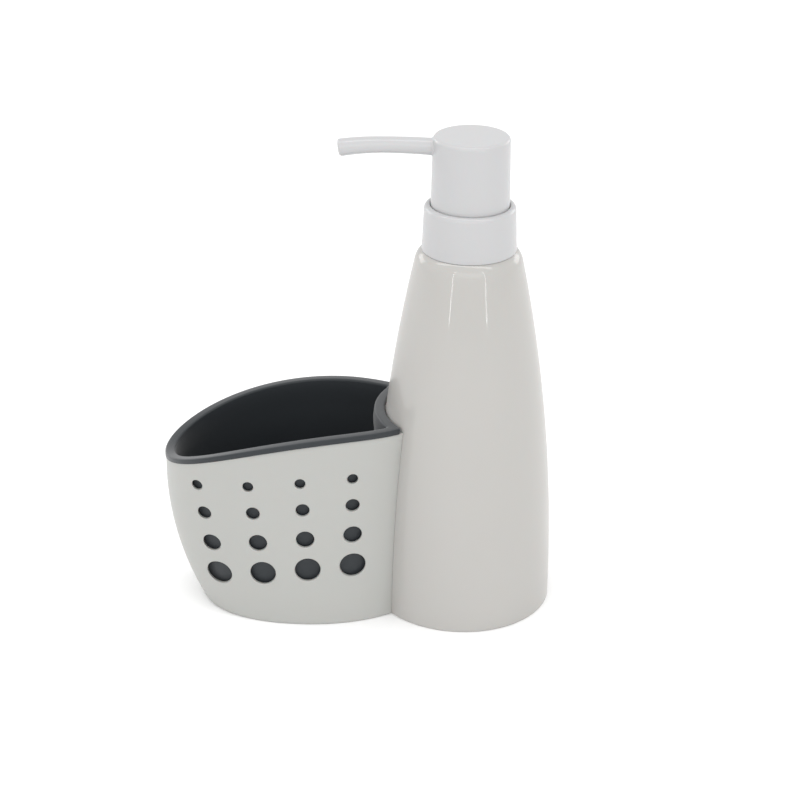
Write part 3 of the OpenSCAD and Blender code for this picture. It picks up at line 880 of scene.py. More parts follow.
@dataclass
class CaddyShell:
    """The satin shell: a thin wall with rounded holes, a floor and a notch round the bottle."""

    form: CaddyForm
    vents: VentPattern
    wall: float = 1.6 * MM
    floor_t: float = 2.4 * MM
    foot_round: float = 0.8 * MM
    bond_gap: float = 0.03 * MM
    rim_drop: float = 2.3 * MM
    crease_r: float = 0.1 * MM
    corner_r: float = 1.2 * MM
    rim_round: float = 0.3 * MM
    column_edges: tuple[float, ...] = (54.0, 74.0, 93.5, 115.5, 145.0)
    row_shares: tuple[float, ...] = (0.228, 0.418, 0.579, 0.729, 0.869)
    spread: float = 0.195
    spread_share: float = 0.516
    spread_start: float = 63.0
    spread_span: float = 68.0
    spread_power: float = 1.95
    base_share: float = 0.02
    top_share: float = 0.996
    vent_span: Pair = (30.0, 178.0)
    foot_steps: int = 7
    cell_steps: int = 10
    rim_steps: int = 4
    corner_steps: int = 5
    bow_steps: int = 14
    round_steps: int = 4

    def angles(self, meet: float) -> list[float]:
        """Outline angles of the grid's columns, from just past the corner to the bow's tip.

        Args:
            meet: Outline angle where the corner ends.

        Returns:
            The angles, the tip included.
        """
        cells = [self.cell_steps] * (len(self.column_edges) - 1)
        return stretches((meet, *self.column_edges, 180), (self.corner_steps, *cells, self.bow_steps))[1:]

    def shares(self) -> list[float]:
        """Height shares of the grid's rows.

        Returns:
            The shares, from the base to the rim.
        """
        cells = [self.cell_steps] * (len(self.row_shares) - 1)
        marks = (self.base_share, *self.row_shares, self.top_share)
        return stretches(marks, (self.foot_steps, *cells, self.rim_steps))

    def spread_out(self, angle: float, share: float) -> float:
        """Height share of a row at an outline angle: towards the bow the rows spread as the vents do.

        Args:
            angle: The outline angle.
            share: The row's height share beside the bottle.

        Returns:
            The share there.
        """
        low, high = self.row_shares[0], self.row_shares[-1]
        run = (min(angle, self.column_edges[-1]) - self.spread_start) / self.spread_span
        held = min(max(share, low), high)
        shift = self.spread * (held - self.spread_share) * max(0.0, run) ** self.spread_power
        if share < low:
            shift *= share / low
        elif share > high:
            shift *= (1 - share) / (1 - high)
        return share + shift

    def row(
        self, share: float, inset: float, stand_off: float, corner: float, lift: float = 0.0,
    ) -> np.ndarray:
        """One whole row of the grid, with its outline angle beside each point.

        Args:
            share: Height share of the row.
            inset: Inset of the outline.
            stand_off: Gap to the bottle.
            corner: Rounding of the notch's corner.
            lift: Height added to the whole row.

        Returns:
            Points as x, y, z and outline angle, negative on the mirrored side.
        """
        z0 = share * (self.form.rim_z - self.rim_drop) + lift
        near, meet = self.form.neck_part(z0, inset, stand_off, corner)
        half = [(*p, 0.0) for p in near]
        for a in self.angles(meet):
            z = self.form.level(a, 0, self.spread_out(a, share), self.rim_drop) + lift
            x, y = self.form.side(a, z, inset)
            half.append((x, y, z, a))
        mirrored = [(x, -y, z, -a) for x, y, z, a in half[-2:0:-1]]
        return np.array(half + mirrored)

    def surface(self, inset: float) -> Callable[[float, float], Triple]:
        """The wall at an inset, as a function of outline angle and height.

        Args:
            inset: Inset of the outline.

        Returns:
            The function. A negative angle gives the mirrored side.
        """
        def point(angle: float, z: float) -> Triple:
            """Point of the wall at an outline angle and a height."""
            x, y = self.form.side(abs(angle), z, inset)
            return (x, math.copysign(y, angle), z)

        return point

    def hole_places(self, vent: Vent, radius: float, inset: float, turns: np.ndarray) -> np.ndarray:
        """Places on the wall of a round hole's edge, cut straight across the caddy.

        Args:
            vent: The vent.
            radius: The edge's radius.
            inset: How deep in the wall the edge lies.
            turns: Directions of the points round the hole, in radians.

        Returns:
            Outline angle and height of each point.
        """
        x, z = self.vents.centre(vent)
        places = []
        for turn in turns:
            height = z + radius * math.sin(turn)
            reach = x + radius * math.cos(turn)
            angle = halve(*self.vent_span, lambda a: -self.form.side(a, height, inset)[0] < reach)
            places.append((-angle if vent.mirrored else angle, height))
        return np.array(places)

    def cell_loop(
        self, grid: np.ndarray, numbers: np.ndarray, row: int, column: int,
    ) -> tuple[list[int], np.ndarray]:
        """The points round one cell of the grid, in order.

        Args:
            grid: The grid's points with their outline angles.
            numbers: The points' numbers in the draft.
            row: Grid row of the cell's lower edge.
            column: Grid column of the cell's first edge.

        Returns:
            Their numbers, and their outline angles and heights.
        """
        walk = [(row + r, column + c) for r, c in window_walk(self.cell_steps, self.cell_steps)]
        edge = [int(numbers[r, c]) for r, c in walk]
        return edge, np.array([(grid[r, c, 3], grid[r, c, 2]) for r, c in walk])

    def draft(self) -> Draft:
        """The whole shell, with its holes through both skins.

        Returns:
            The draft, one closed skin.
        """
        draft = Draft()
        shares = self.shares()
        outer = np.array([self.row(s, 0, self.bond_gap, self.crease_r) for s in shares])
        inner = np.array([self.row(s, self.wall, self.bond_gap + self.wall, self.corner_r) for s in shares])
        floor_rise = self.floor_t - outer[0, 0, 2]
        for i in range(self.foot_steps):
            inner[i, :, 2] += floor_rise * (1 - i / self.foot_steps)
        skins = [outer, inner]
        numbers = [np.array([draft.add(row[:, :3]) for row in skin]) for skin in skins]
        self._grid_faces(draft, numbers)
        for vent in self.vents.every():
            self._pierce(draft, skins, numbers, vent)
        self._close(draft, numbers)
        return draft

    def _cell(self, vent: Vent) -> tuple[int, int]:
        """Where the grid's cell round a vent starts.

        Args:
            vent: The vent.

        Returns:
            The cell's lowest grid row and first grid column.
        """
        low = self.foot_steps + (len(self.vents.diameters) - 1 - vent.row) * self.cell_steps
        near = self.form.notch_steps + self.form.corner_steps
        side = self.corner_steps + (len(self.column_edges) - 1) * self.cell_steps + self.bow_steps
        first = near + self.corner_steps + vent.column * self.cell_steps
        return low, 2 * (near + side) - first - self.cell_steps if vent.mirrored else first

    def _grid_faces(self, draft: Draft, numbers: list[np.ndarray]) -> None:
        """Adds the grid's faces on both skins, apart from the vents' cells.

        Args:
            draft: The draft that the grid is in.
            numbers: The points' numbers on the outer and the inner skin.
        """
        rows, columns = numbers[0].shape
        skip = np.zeros((rows - 1, columns), bool)
        for vent in self.vents.every():
            r, c = self._cell(vent)
            skip[r:r + self.cell_steps, c:c + self.cell_steps] = True
        for skin, r, c in product(numbers, range(rows - 1), range(columns)):
            if not skip[r, c]:
                d = (c + 1) % columns
                draft.faces.append((skin[r, c], skin[r, d], skin[r + 1, d], skin[r + 1, c]))

    def _pierce(self, draft: Draft, skins: list[np.ndarray], numbers: list[np.ndarray], vent: Vent) -> None:
        """Makes one hole, with a rounded edge on both skins.

        Args:
            draft: The draft that the grid is in.
            skins: The outer and the inner grid, with their outline angles.
            numbers: The numbers of their points.
            vent: The vent.
        """
        row, column = self._cell(vent)
        radius = self.vents.diameters[vent.row] / 2
        edge, places = self.cell_loop(skins[0], numbers[0], row, column)
        back_edge, back_places = self.cell_loop(skins[1], numbers[1], row, column)
        x, z = self.vents.centre(vent)
        spans = np.array([-self.form.side(abs(a), h, 0)[0] - x for a, h in places])
        turns = evened(np.arctan2(places[:, 1] - z, spans), weight=1)

        def ring(size: float, inset: float) -> np.ndarray:
            """Places of a circle round the hole's axis."""
            return self.hole_places(vent, size, inset, turns)

        front, back, wall = self.vents.rim_round, self.vents.back_round, self.wall
        bore = [(radius + rise, tuck) for rise, tuck in rounding(front, self.vents.rim_steps)[1:]]
        bore += [(radius + rise, wall - tuck) for rise, tuck in rounding(back, self.vents.back_steps)[:0:-1]]
        last = lace(draft, edge, places, ring(radius + front, 0), self.surface(0), LACE_SHARES)
        for size, depth in bore:
            point = self.surface(depth)
            last = draft.grow(last, (point(u, v) for u, v in ring(size, depth)))
        far_ring = ring(radius + back, wall)
        draft.band(last, lace(draft, back_edge, back_places, far_ring, self.surface(wall), LACE_SHARES))

    def _close(self, draft: Draft, numbers: list[np.ndarray]) -> None:
        """Closes the rim, the rounded foot and both sides of the floor.

        Args:
            draft: The draft that the grid is in.
            numbers: The points' numbers on the outer and the inner skin.
        """
        outer, inner = numbers
        step, gap = self.rim_round, self.bond_gap
        last = list(outer[-1])
        for row in (
            self.row(1, step, gap + step / 2, self.crease_r),
            self.row(1, self.wall - step, gap + self.wall - step / 2, self.corner_r),
        ):
            last = draft.grow(last, row[:, :3])
        draft.band(last, list(inner[-1]))
        last = list(outer[0])
        for lift, tuck in rounding(self.foot_round, self.round_steps):
            last = draft.grow(last, self.row(0, tuck, gap, self.crease_r, lift)[:, :3])
        draft.cap(last)
        draft.cap(inner[0])

    def build(self) -> None:
        """Builds the shell."""
        shell = self.draft().piece("caddy_shell_wall", SHELL_SATIN, Body.HOLDER, sharp=50)
        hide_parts("caddy_shell")


@dataclass
class CaddyLiner:
    """The rubber liner: a thin cup with a thick soft lip, drain holes in its floor and four legs."""

    form: CaddyForm
    shell_wall: float = 1.6 * MM
    shell_floor_t: float = 2.4 * MM
    bond_gap: float = 0.15 * MM
    wall: float = 1.5 * MM
    gap: float = 0.4 * MM
    draft_in: float = 0.6 * MM
    lip_w: float = 4.4 * MM
    lip_h: float = 2.2 * MM
    lip_in_h: float = 3.4 * MM
    lip_blend_h: float = 10 * MM
    lip_proud: float = 0.3 * MM
    lip_bottle_gap: float = 0.6 * MM
    lip_round: float = 0.9 * MM
    lip_corner_r: float = 2 * MM
    drip_h: float = 4 * MM
    floor_t: float = 1.8 * MM
    foot_r: float = 2 * MM
    out_corner_r: float = 1.8 * MM
    in_corner_r: float = 1.2 * MM
    drain_r: float = 2.5 * MM
    drain_round: float = 0.3 * MM
    drain_bevel_share: float = 0.3
    drain_x_shares: tuple[float, ...] = (0.5, 0.6, 0.7, 0.8)
    drain_y_shares: tuple[float, ...] = (-0.36, 0.0, 0.36)
    drain_sides: int = 32
    leg_x_shares: tuple[float, ...] = (0.44, 0.74)
    leg_y_shares: tuple[float, ...] = (-0.45, 0.45)
    leg_r: float = 2.5 * MM
    leg_round: float = 0.4 * MM
    leg_clearance: float = 0.05 * MM
    leg_sink: float = 0.1 * MM
    leg_sides: int = 48
    leg_steps: int = 4
    side_steps: int = 110
    wall_rows: int = 14
    turn_steps: int = 6

    def __post_init__(self) -> None:
        """Works out the levels, and how far each skin stands off the outline and the bottle."""
        self.under_z = self.shell_floor_t + self.drip_h
        self.floor_z = self.under_z + self.floor_t
        self.out_inset = self.shell_wall + self.gap
        self.out_gap = self.bond_gap + self.shell_wall + self.gap
        self.in_gap = self.out_gap + self.wall
        self.lip_inset = self.lip_w - self.lip_proud
        self.lip_gap = self.lip_bottle_gap + self.lip_w

    def build(self) -> None:
        """Builds the liner and its legs."""
        cup = self.cup().piece("liner_cup", LINER_RUBBER, Body.LINER, sharp=50)
        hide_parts("caddy_liner")
        self.legs().piece("liner_legs", LINER_RUBBER, Body.LINER)

    def cup(self) -> Draft:
        """The cup with its lip and drain holes.

        Returns:
            The draft, one closed skin.
        """
        draft = Draft()
        angles = np.linspace(0, 1, self.side_steps + 1)[1:]
        places = self._inside() + self._lip() + self._outside()
        rings = [draft.add(self.form.ring(*place, angles)) for place in places]
        draft.bands(rings)
        self._floor(draft, rings[0], rings[-1])
        return draft

    def _inside(self) -> list[RingPlace]:
        """Rings of the inner skin, from the floor up to where it blends into the lip.

        Returns:
            Each ring's place as CaddyForm.ring takes it.
        """
        foot_inset, corner = self.out_inset + self.draft_in + self.wall, self.in_corner_r
        drop = self.lip_in_h + self.lip_blend_h
        places: list[RingPlace] = []
        for up, tuck in reversed(rounding(self.foot_r, self.turn_steps)):
            places.append((self.floor_z + up, 0, 0, foot_inset + tuck, self.in_gap + tuck, corner))
        for s in np.linspace(0, 1, self.wall_rows + 1)[1:]:
            inset = self.out_inset + self.draft_in * (1 - s) + self.wall
            places.append((self.floor_z + self.foot_r, s, drop, inset, self.in_gap, corner))
        for u in np.linspace(0, 1, 2 * self.turn_steps + 1)[1:]:
            inset = lerp(self.out_inset + self.wall, self.lip_inset, ease(u))
            gap = lerp(self.in_gap, self.lip_gap, ease(u))
            places.append((0, 1, self.lip_in_h + self.lip_blend_h * (1 - u), inset, gap, corner))
        return places

    def _lip(self) -> list[RingPlace]:
        """Rings over the rounded lip, from its inner side to its outer foot.

        Returns:
            Each ring's place as CaddyForm.ring takes it.
        """
        edge = rounding(self.lip_round, self.turn_steps)
        places: list[RingPlace] = []
        for drop, tuck in edge:
            corner = self.in_corner_r + tuck
            places.append((0, 1, drop, self.lip_inset - tuck, self.lip_gap - tuck, corner))
        for drop, tuck in reversed(edge):
            corner = self.lip_corner_r - tuck
            places.append((0, 1, drop, tuck - self.lip_proud, self.lip_bottle_gap + tuck, corner))
        places.append((0, 1, self.lip_h, -self.lip_proud, self.lip_bottle_gap, self.lip_corner_r))
        return places

    def _outside(self) -> list[RingPlace]:
        """Rings of the outer skin, from under the lip down to the floor's underside.

        Returns:
            Each ring's place as CaddyForm.ring takes it.
        """
        low_z, corner = self.under_z + self.foot_r, self.out_corner_r
        places: list[RingPlace] = []
        for s in np.linspace(1, 0, self.wall_rows + 1):
            inset = self.out_inset + self.draft_in * (1 - s)
            places.append((low_z, s, self.lip_h, inset, self.out_gap, corner))
        for up, tuck in rounding(self.foot_r, self.turn_steps)[1:]:
            inset = self.out_inset + self.draft_in + tuck
            places.append((self.under_z + up, 0, 0, inset, self.out_gap + tuck, corner))
        return places

    def _floor(self, draft: Draft, top: list[int], under: list[int]) -> None:
        """Fills both sides of the floor round the drain holes and lines the holes.

        Args:
            draft: The draft that the cup is in.
            top: Numbers of the points round the floor's upper side.
            under: Numbers of the points round its underside.
        """
        bevel = self.drain_bevel_share * self.drain_round
        section = (
            (self.drain_r + self.drain_round, self.floor_z),
            (self.drain_r + bevel, self.floor_z - bevel),
            (self.drain_r, self.floor_z - self.drain_round),
            (self.drain_r, self.under_z),
        )
        drains = []
        for x, y in self._spots(self.drain_x_shares, self.drain_y_shares):
            rings = [draft.add(circle(x, y, z, r, self.drain_sides)) for r, z in section]
            draft.bands(rings)
            drains.append(rings)
        self._fill(draft, top, [rings[0] for rings in drains])
        self._fill(draft, under, [rings[-1] for rings in drains])

    def _spots(self, x_shares: Sequence[float], y_shares: Sequence[float]) -> list[Pair]:
        """Places in the floor by shares of the tip's distance and of the half width."""
        return [(-x * self.form.tip_top_x, y * self.form.half_w) for x, y in product(x_shares, y_shares)]

    @staticmethod
    def _fill(draft: Draft, outline: list[int], holes: list[list[int]]) -> None:
        """Fills a flat outline round its holes.

        Args:
            draft: The draft that they are in.
            outline: Numbers of the outline's points.
            holes: Numbers of each hole's points.
        """
        work = bmesh.new()
        loops = (outline, *holes)
        for loop in loops:
            made = [work.verts.new(draft.points[i]) for i in loop]
            for one, other in zip(made, made[1:] + made[:1]):
                work.edges.new((one, other))
        work.verts.index_update()
        numbers = [i for loop in loops for i in loop]
        bmesh.ops.triangle_fill(work, edges=work.edges, use_beauty=True, use_dissolve=False)
        for face in work.faces:
            draft.cap([numbers[v.index] for v in face.verts])
        work.free()

    def legs(self) -> Draft:
        """The four short legs under the liner, with rounded feet.

        Returns:
            The draft of the legs.
        """
        draft = Draft()
        foot_z, edge = self.shell_floor_t + self.leg_clearance, self.leg_round
        profile = [(self.leg_r, self.under_z + self.leg_sink)]
        profile += arc((self.leg_r - edge, foot_z + edge), edge, 0, -90, self.leg_steps)
        for x, y in self._spots(self.leg_x_shares, self.leg_y_shares):
            rings = [draft.add(circle(x, y, z, r, self.leg_sides)) for r, z in profile]
            draft.bands(rings)
            draft.fan(rings[0], (x, y, profile[0][1]))
            draft.fan(rings[-1], (x, y, profile[-1][1]))
        return draft


@dataclass
class Collar:
    """The plain collar sleeve round the screw cap."""

    foot_r: float = 19.7 * MM
    top_r: float = 19 * MM
    foot_z: float = 163.1 * MM
    bevel: float = 1.45 * MM
    height: float = 17.9 * MM
    top_round: float = 2.1 * MM
    foot_round: float = 0.25 * MM
    mouth_r: float = 16.4 * MM
    mouth_t: float = 1.7 * MM
    mouth_round: float = 0.5 * MM
    bore_r: float = 17.55 * MM
    ledge_r: float = 17.0 * MM
    ledge_z: float = 166.25 * MM
    ledge_t: float = 1.1 * MM
    foot_angle: float = -65.0
    round_steps: int = 12
    small_steps: int = 4
    sides: int = 256

    def profile(self) -> list[Pair]:
        """The sleeve's section.

        Returns:
            Points as radius and height, up the outside and down the inside.
        """
        foot, top, mouth = self.foot_round, self.top_round, self.mouth_round
        top_z = self.foot_z + self.height
        out_z = self.foot_z - self.bevel
        points = [(self.bore_r, self.foot_z)]
        points += arc((self.foot_r - foot, out_z + foot), foot, self.foot_angle, 0, self.small_steps)
        points += arc((self.top_r - top, top_z - top), top, 0, 90, self.round_steps)
        points += arc((self.mouth_r + mouth, top_z - mouth), mouth, 90, 180, self.small_steps)
        points += [
            (self.mouth_r, top_z - self.mouth_t),
            (self.bore_r, top_z - self.mouth_t),
            (self.bore_r, self.ledge_z + self.ledge_t),
            (self.ledge_r, self.ledge_z + self.ledge_t),
            (self.ledge_r, self.ledge_z),
            (self.bore_r, self.ledge_z),
        ]
        return points

    def build(self) -> None:
        """Builds the sleeve."""
        sleeve = revolve(self.profile(), self.sides).piece("collar_ring", PUMP_WHITE, Body.CLOSURE)
        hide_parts("collar_sleeve")


@dataclass
class HeadSkin:
    """One turned skin of the head, with a window in it for the spout or its bore.

    A run is measured up the section from the window's foot.
    """

    section: list[Pair]
    first_row: int
    runs: list[float]
    at: Callable[[float], Pair]
    run_at: Callable[[float], float]
    numbers: np.ndarray = field(default_factory=lambda: np.empty((0, 0), int))

    def point(self, turn: float, run: float) -> Triple:
        """Point of the skin at a direction about the pump axis and a run."""
        r, z = self.at(run)
        return (r * math.cos(turn), r * math.sin(turn), z)

    def ring_places(self, radius: float, height: float, ways: np.ndarray) -> np.ndarray:
        """Places on the skin of a ring that looks round along the spout.

        Args:
            radius: The ring's radius.
            height: Height of its middle.
            ways: Directions of its points, in radians.

        Returns:
            Direction about the pump axis and run of each point.
        """
        places = []
        for t in ways:
            run = self.run_at(height + radius * math.sin(t))
            places.append((math.pi - math.asin(radius * math.cos(t) / self.at(run)[0]), run))
        return np.array(places)


@dataclass
class HeadAndSpout:
    """The pump head and its spout, one moulding with a small fillet between them."""

    top_z: float = 210 * MM
    skirt_r: float = 16.3 * MM
    top_r: float = 15.8 * MM
    height: float = 30.5 * MM
    wall: float = 1.4 * MM
    roof_t: float = 1.8 * MM
    top_round: float = 1.6 * MM
    skirt_round: float = 0.25 * MM
    reach: float = 54 * MM
    root_d: float = 7.1 * MM
    waist_d: float = 6.7 * MM
    tip_d: float = 7.2 * MM
    tip_round: float = 1.2 * MM
    bore_d: float = 3 * MM
    bore_round: float = 0.25 * MM
    bore_bevel_share: float = 0.3
    drop: float = 4.7 * MM
    rise_r: float = 300 * MM
    fall_r: float = 122 * MM
    crown_x: float = 35 * MM
    fillet: float = 0.8 * MM
    settle: float = 5 * MM
    window_drop: float = 10 * MM
    brim_gap: float = 0.01 * MM
    roof_shares: tuple[float, ...] = (0.97, 0.8, 0.5, 0.2)
    ceiling_shares: tuple[float, ...] = (0.97, 0.7, 0.3)
    bore_lace_shares: tuple[float, ...] = (0.4, 0.75, 1.0)
    sides: int = 120
    window_columns: int = 16
    window_rows: int = 10
    skirt_rows: int = 6
    skirt_round_steps: int = 4
    round_steps: int = 6
    stations: int = 28

    def __post_init__(self) -> None:
        """Works out the levels that follow from the sizes, and where the window starts."""
        self.low_z = self.top_z - self.height
        self.roof_z = self.top_z - self.roof_t
        self.root_z = self.top_z - self.drop
        self.turn_z = self.top_z - self.top_round
        self.crown_z = self.root_z + arc_sag(self.rise_r, self.crown_x - self.top_r)
        self.window_z = self.top_z - self.window_drop
        self.first_column = self.sides // 2 - self.window_columns // 2

    def wall_r(self, z: float) -> float:
        """Outer radius of the head's straight wall at a height."""
        return lerp(self.skirt_r, self.top_r, (z - self.low_z) / (self.turn_z - self.low_z))

    def outside(self, run: float) -> Pair:
        """Place on the outer wall's section.

        Args:
            run: Run up the section from the window's foot.

        Returns:
            Radius and height.
        """
        straight = self.turn_z - self.window_z
        if run <= straight:
            z = self.window_z + run
            return self.wall_r(z), z
        t = (run - straight) / self.top_round
        return (self.top_r - self.top_round * (1 - math.cos(t)), self.turn_z + self.top_round * math.sin(t))

    def outside_run(self, z: float) -> float:
        """Run up the outer wall's section at a height.

        Args:
            z: The height, below the roof's top.

        Returns:
            The run from the window's foot.
        """
        straight = self.turn_z - self.window_z
        if z <= self.turn_z:
            return z - self.window_z
        return straight + self.top_round * math.asin((z - self.turn_z) / self.top_round)

    def inside(self, run: float) -> Pair:
        """Radius and height of the inner wall at a run up from the window's foot."""
        z = self.window_z + run
        return self.wall_r(z) - self.wall, z

    def middle_z(self, x: float) -> float:
        """Height of the spout's middle line at a distance from the pump axis."""
        dx = x - self.crown_x
        return self.crown_z - arc_sag(self.fall_r if dx > 0 else self.rise_r, abs(dx))

    def lean(self, x: float) -> float:
        """Lean of a ring of the spout in radians."""
        dx = x - self.crown_x
        return math.asin(dx / (self.fall_r if dx > 0 else self.rise_r))

    def spout_r(self, x: float) -> float:
        """Radius of the spout.

        Args:
            x: Distance from the pump axis.

        Returns:
            The radius.
        """
        if x > self.crown_x:
            return lerp(self.waist_d, self.tip_d, (x - self.crown_x) / (self.reach - self.crown_x)) / 2
        return lerp(self.root_d, self.waist_d, (x - self.top_r) / (self.crown_x - self.top_r)) / 2

    def root_x(self, across: float, z: float) -> float:
        """Distance of the head's outer wall from the pump axis at a side offset and height."""
        r = self.outside(self.outside_run(min(z, self.top_z - self.brim_gap)))[0]
        return math.sqrt(r * r - across * across)

    def ring(self, x: float, radius: float, ways: np.ndarray) -> list[Triple]:
        """A ring of the spout or its bore, which bends into the wall's curve near its root.

        Args:
            x: Distance from the pump axis along the middle line.
            radius: The ring's radius.
            ways: Directions of its points, in radians.

        Returns:
            The ring's points.
        """
        hold = ease(max(0.0, 1 - max(0.0, x - self.top_r) / self.settle))
        lean = self.lean(x) * (1 - hold)
        z, flat = self.middle_z(x), self.root_x(0.0, self.root_z)
        points = []
        for t in ways:
            up, across = radius * math.sin(t), radius * math.cos(t)
            bend = hold * (flat - self.root_x(across, z + up))
            points.append((bend - x - up * math.sin(lean), across, z + up * math.cos(lean)))
        return points

    def draft(self) -> Draft:
        """The whole moulding.

        Returns:
            The draft, one closed skin.
        """
        draft = Draft()
        outer, inner = self._outer_skin(), self._inner_skin()
        for skin in (outer, inner):
            skin.numbers = np.array([draft.add(circle(0, 0, z, r, self.sides)) for r, z in skin.section])
        self._skin_faces(draft, outer)
        self._skin_faces(draft, inner)
        draft.band(list(outer.numbers[0]), list(inner.numbers[0]))
        draft.fan(list(outer.numbers[-1]), (0, 0, self.top_z))
        draft.fan(list(inner.numbers[-1]), (0, 0, self.roof_z))
        self._spout(draft, outer, inner)
        return draft

    def _outer_skin(self) -> HeadSkin:
        """The outer skin, from the skirt's foot to the middle of the roof.

        Returns:
            The skin, not yet in a draft.
        """
        foot = self.skirt_round
        straight = self.turn_z - self.window_z
        marks = (0.0, straight, straight + self.top_round * math.pi / 2)
        runs = stretches(marks, (self.window_rows, self.round_steps))
        levels = np.linspace(self.low_z + foot, self.window_z, self.skirt_rows + 1)
        section = arc((self.skirt_r - foot, self.low_z + foot), foot, -90, 0, self.skirt_round_steps)
        section += [(self.wall_r(z), z) for z in levels[1:-1]]
        first_row = len(section)
        section += [self.outside(run) for run in runs]
        section += [(section[-1][0] * share, self.top_z) for share in self.roof_shares]
        return HeadSkin(section, first_row, runs, self.outside, self.outside_run)

    def _inner_skin(self) -> HeadSkin:
        """The inner skin, from the skirt's foot to the middle of the ceiling.

        Returns:
            The skin, not yet in a draft.
        """
        rows = self.window_rows + self.round_steps
        runs = list(np.linspace(0, self.roof_z - self.window_z, rows + 1))
        levels = np.linspace(self.low_z, self.window_z, self.skirt_rows + 1)
        section = [(self.wall_r(z) - self.wall, z) for z in levels[:-1]]
        first_row = len(section)
        section += [self.inside(run) for run in runs]
        section += [(section[-1][0] * share, self.roof_z) for share in self.ceiling_shares]
        return HeadSkin(section, first_row, runs, self.inside, lambda z: z - self.window_z)

    def _skin_faces(self, draft: Draft, skin: HeadSkin) -> None:
        """Adds a skin's faces, apart from its window.

        Args:
            draft: The draft that the skin is in.
            skin: The skin.
        """
        rows = range(skin.first_row, skin.first_row + len(skin.runs) - 1)
        columns = range(self.first_column, self.first_column + self.window_columns)
        for i, j in product(range(len(skin.section) - 1), range(self.sides)):
            if i not in rows or j not in columns:
                low, high, k = skin.numbers[i], skin.numbers[i + 1], (j + 1) % self.sides
                draft.faces.append((low[j], low[k], high[k], high[j]))

    def _window(self, skin: HeadSkin) -> tuple[list[int], np.ndarray]:
        """The points round a skin's window, in order.

        Args:
            skin: The skin.

        Returns:
            Their numbers, and their directions about the pump axis and runs.
        """
        walk = window_walk(len(skin.runs) - 1, self.window_columns)
        edge = [int(skin.numbers[skin.first_row + r, self.first_column + c]) for r, c in walk]
        turns = [2 * math.pi * (self.first_column + c) / self.sides for _, c in walk]
        return edge, np.array([(turn, skin.runs[r]) for turn, (r, _) in zip(turns, walk)])

    def _spout(self, draft: Draft, outer: HeadSkin, inner: HeadSkin) -> None:
        """Grows the spout out of the outer window, and its bore back to the inner one.

        Args:
            draft: The draft that both skins are in.
            outer: The outer skin.
            inner: The inner skin.
        """
        edge, places = self._window(outer)
        heights = np.array([outer.at(run)[1] for run in places[:, 1]]) - self.root_z
        ways = evened(np.arctan2(heights, self.top_r * np.sin(places[:, 0])), weight=2)
        root = outer.ring_places(self.root_d / 2 + self.fillet, self.root_z, ways)
        last = lace(draft, edge, places, root, outer.point, LACE_SHARES)
        for x, radius in self._stations():
            last = draft.grow(last, self.ring(x, radius, ways))
        back = inner.ring_places(self.bore_d / 2, self.root_z, ways)
        draft.band(last, lace(draft, *self._window(inner), back, inner.point, self.bore_lace_shares))

    def _stations(self) -> list[Pair]:
        """Where the rings lie along the spout, round its tip and back down its bore.

        Returns:
            Distance from the pump axis and radius of each ring.
        """
        root_r, tip_r, bore_r = self.root_d / 2, self.tip_d / 2, self.bore_d / 2
        bevel = self.bore_bevel_share * self.bore_round
        body = np.linspace(self.top_r + self.fillet, self.reach - self.tip_round, self.stations + 1)
        bore = np.linspace(self.reach - self.bore_round, self.top_r, self.stations)
        fillet = rounding(self.fillet, self.round_steps)[1:]
        tip = rounding(self.tip_round, self.round_steps)[1:]
        rings = [(self.top_r + tuck, root_r + rise) for rise, tuck in fillet]
        rings += [(x, self.spout_r(x)) for x in body[1:]]
        rings += [(self.reach - rise, tip_r - tuck) for rise, tuck in tip]
        rings += [(self.reach, bore_r + self.bore_round), (self.reach - bevel, bore_r + bevel)]
        return rings + [(x, bore_r) for x in bore]

    def build(self) -> None:
        """Builds the head with its spout."""
        head = self.draft().piece("head_moulding", PUMP_WHITE, Body.PLUNGER, sharp=60)
        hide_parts("pump_head")


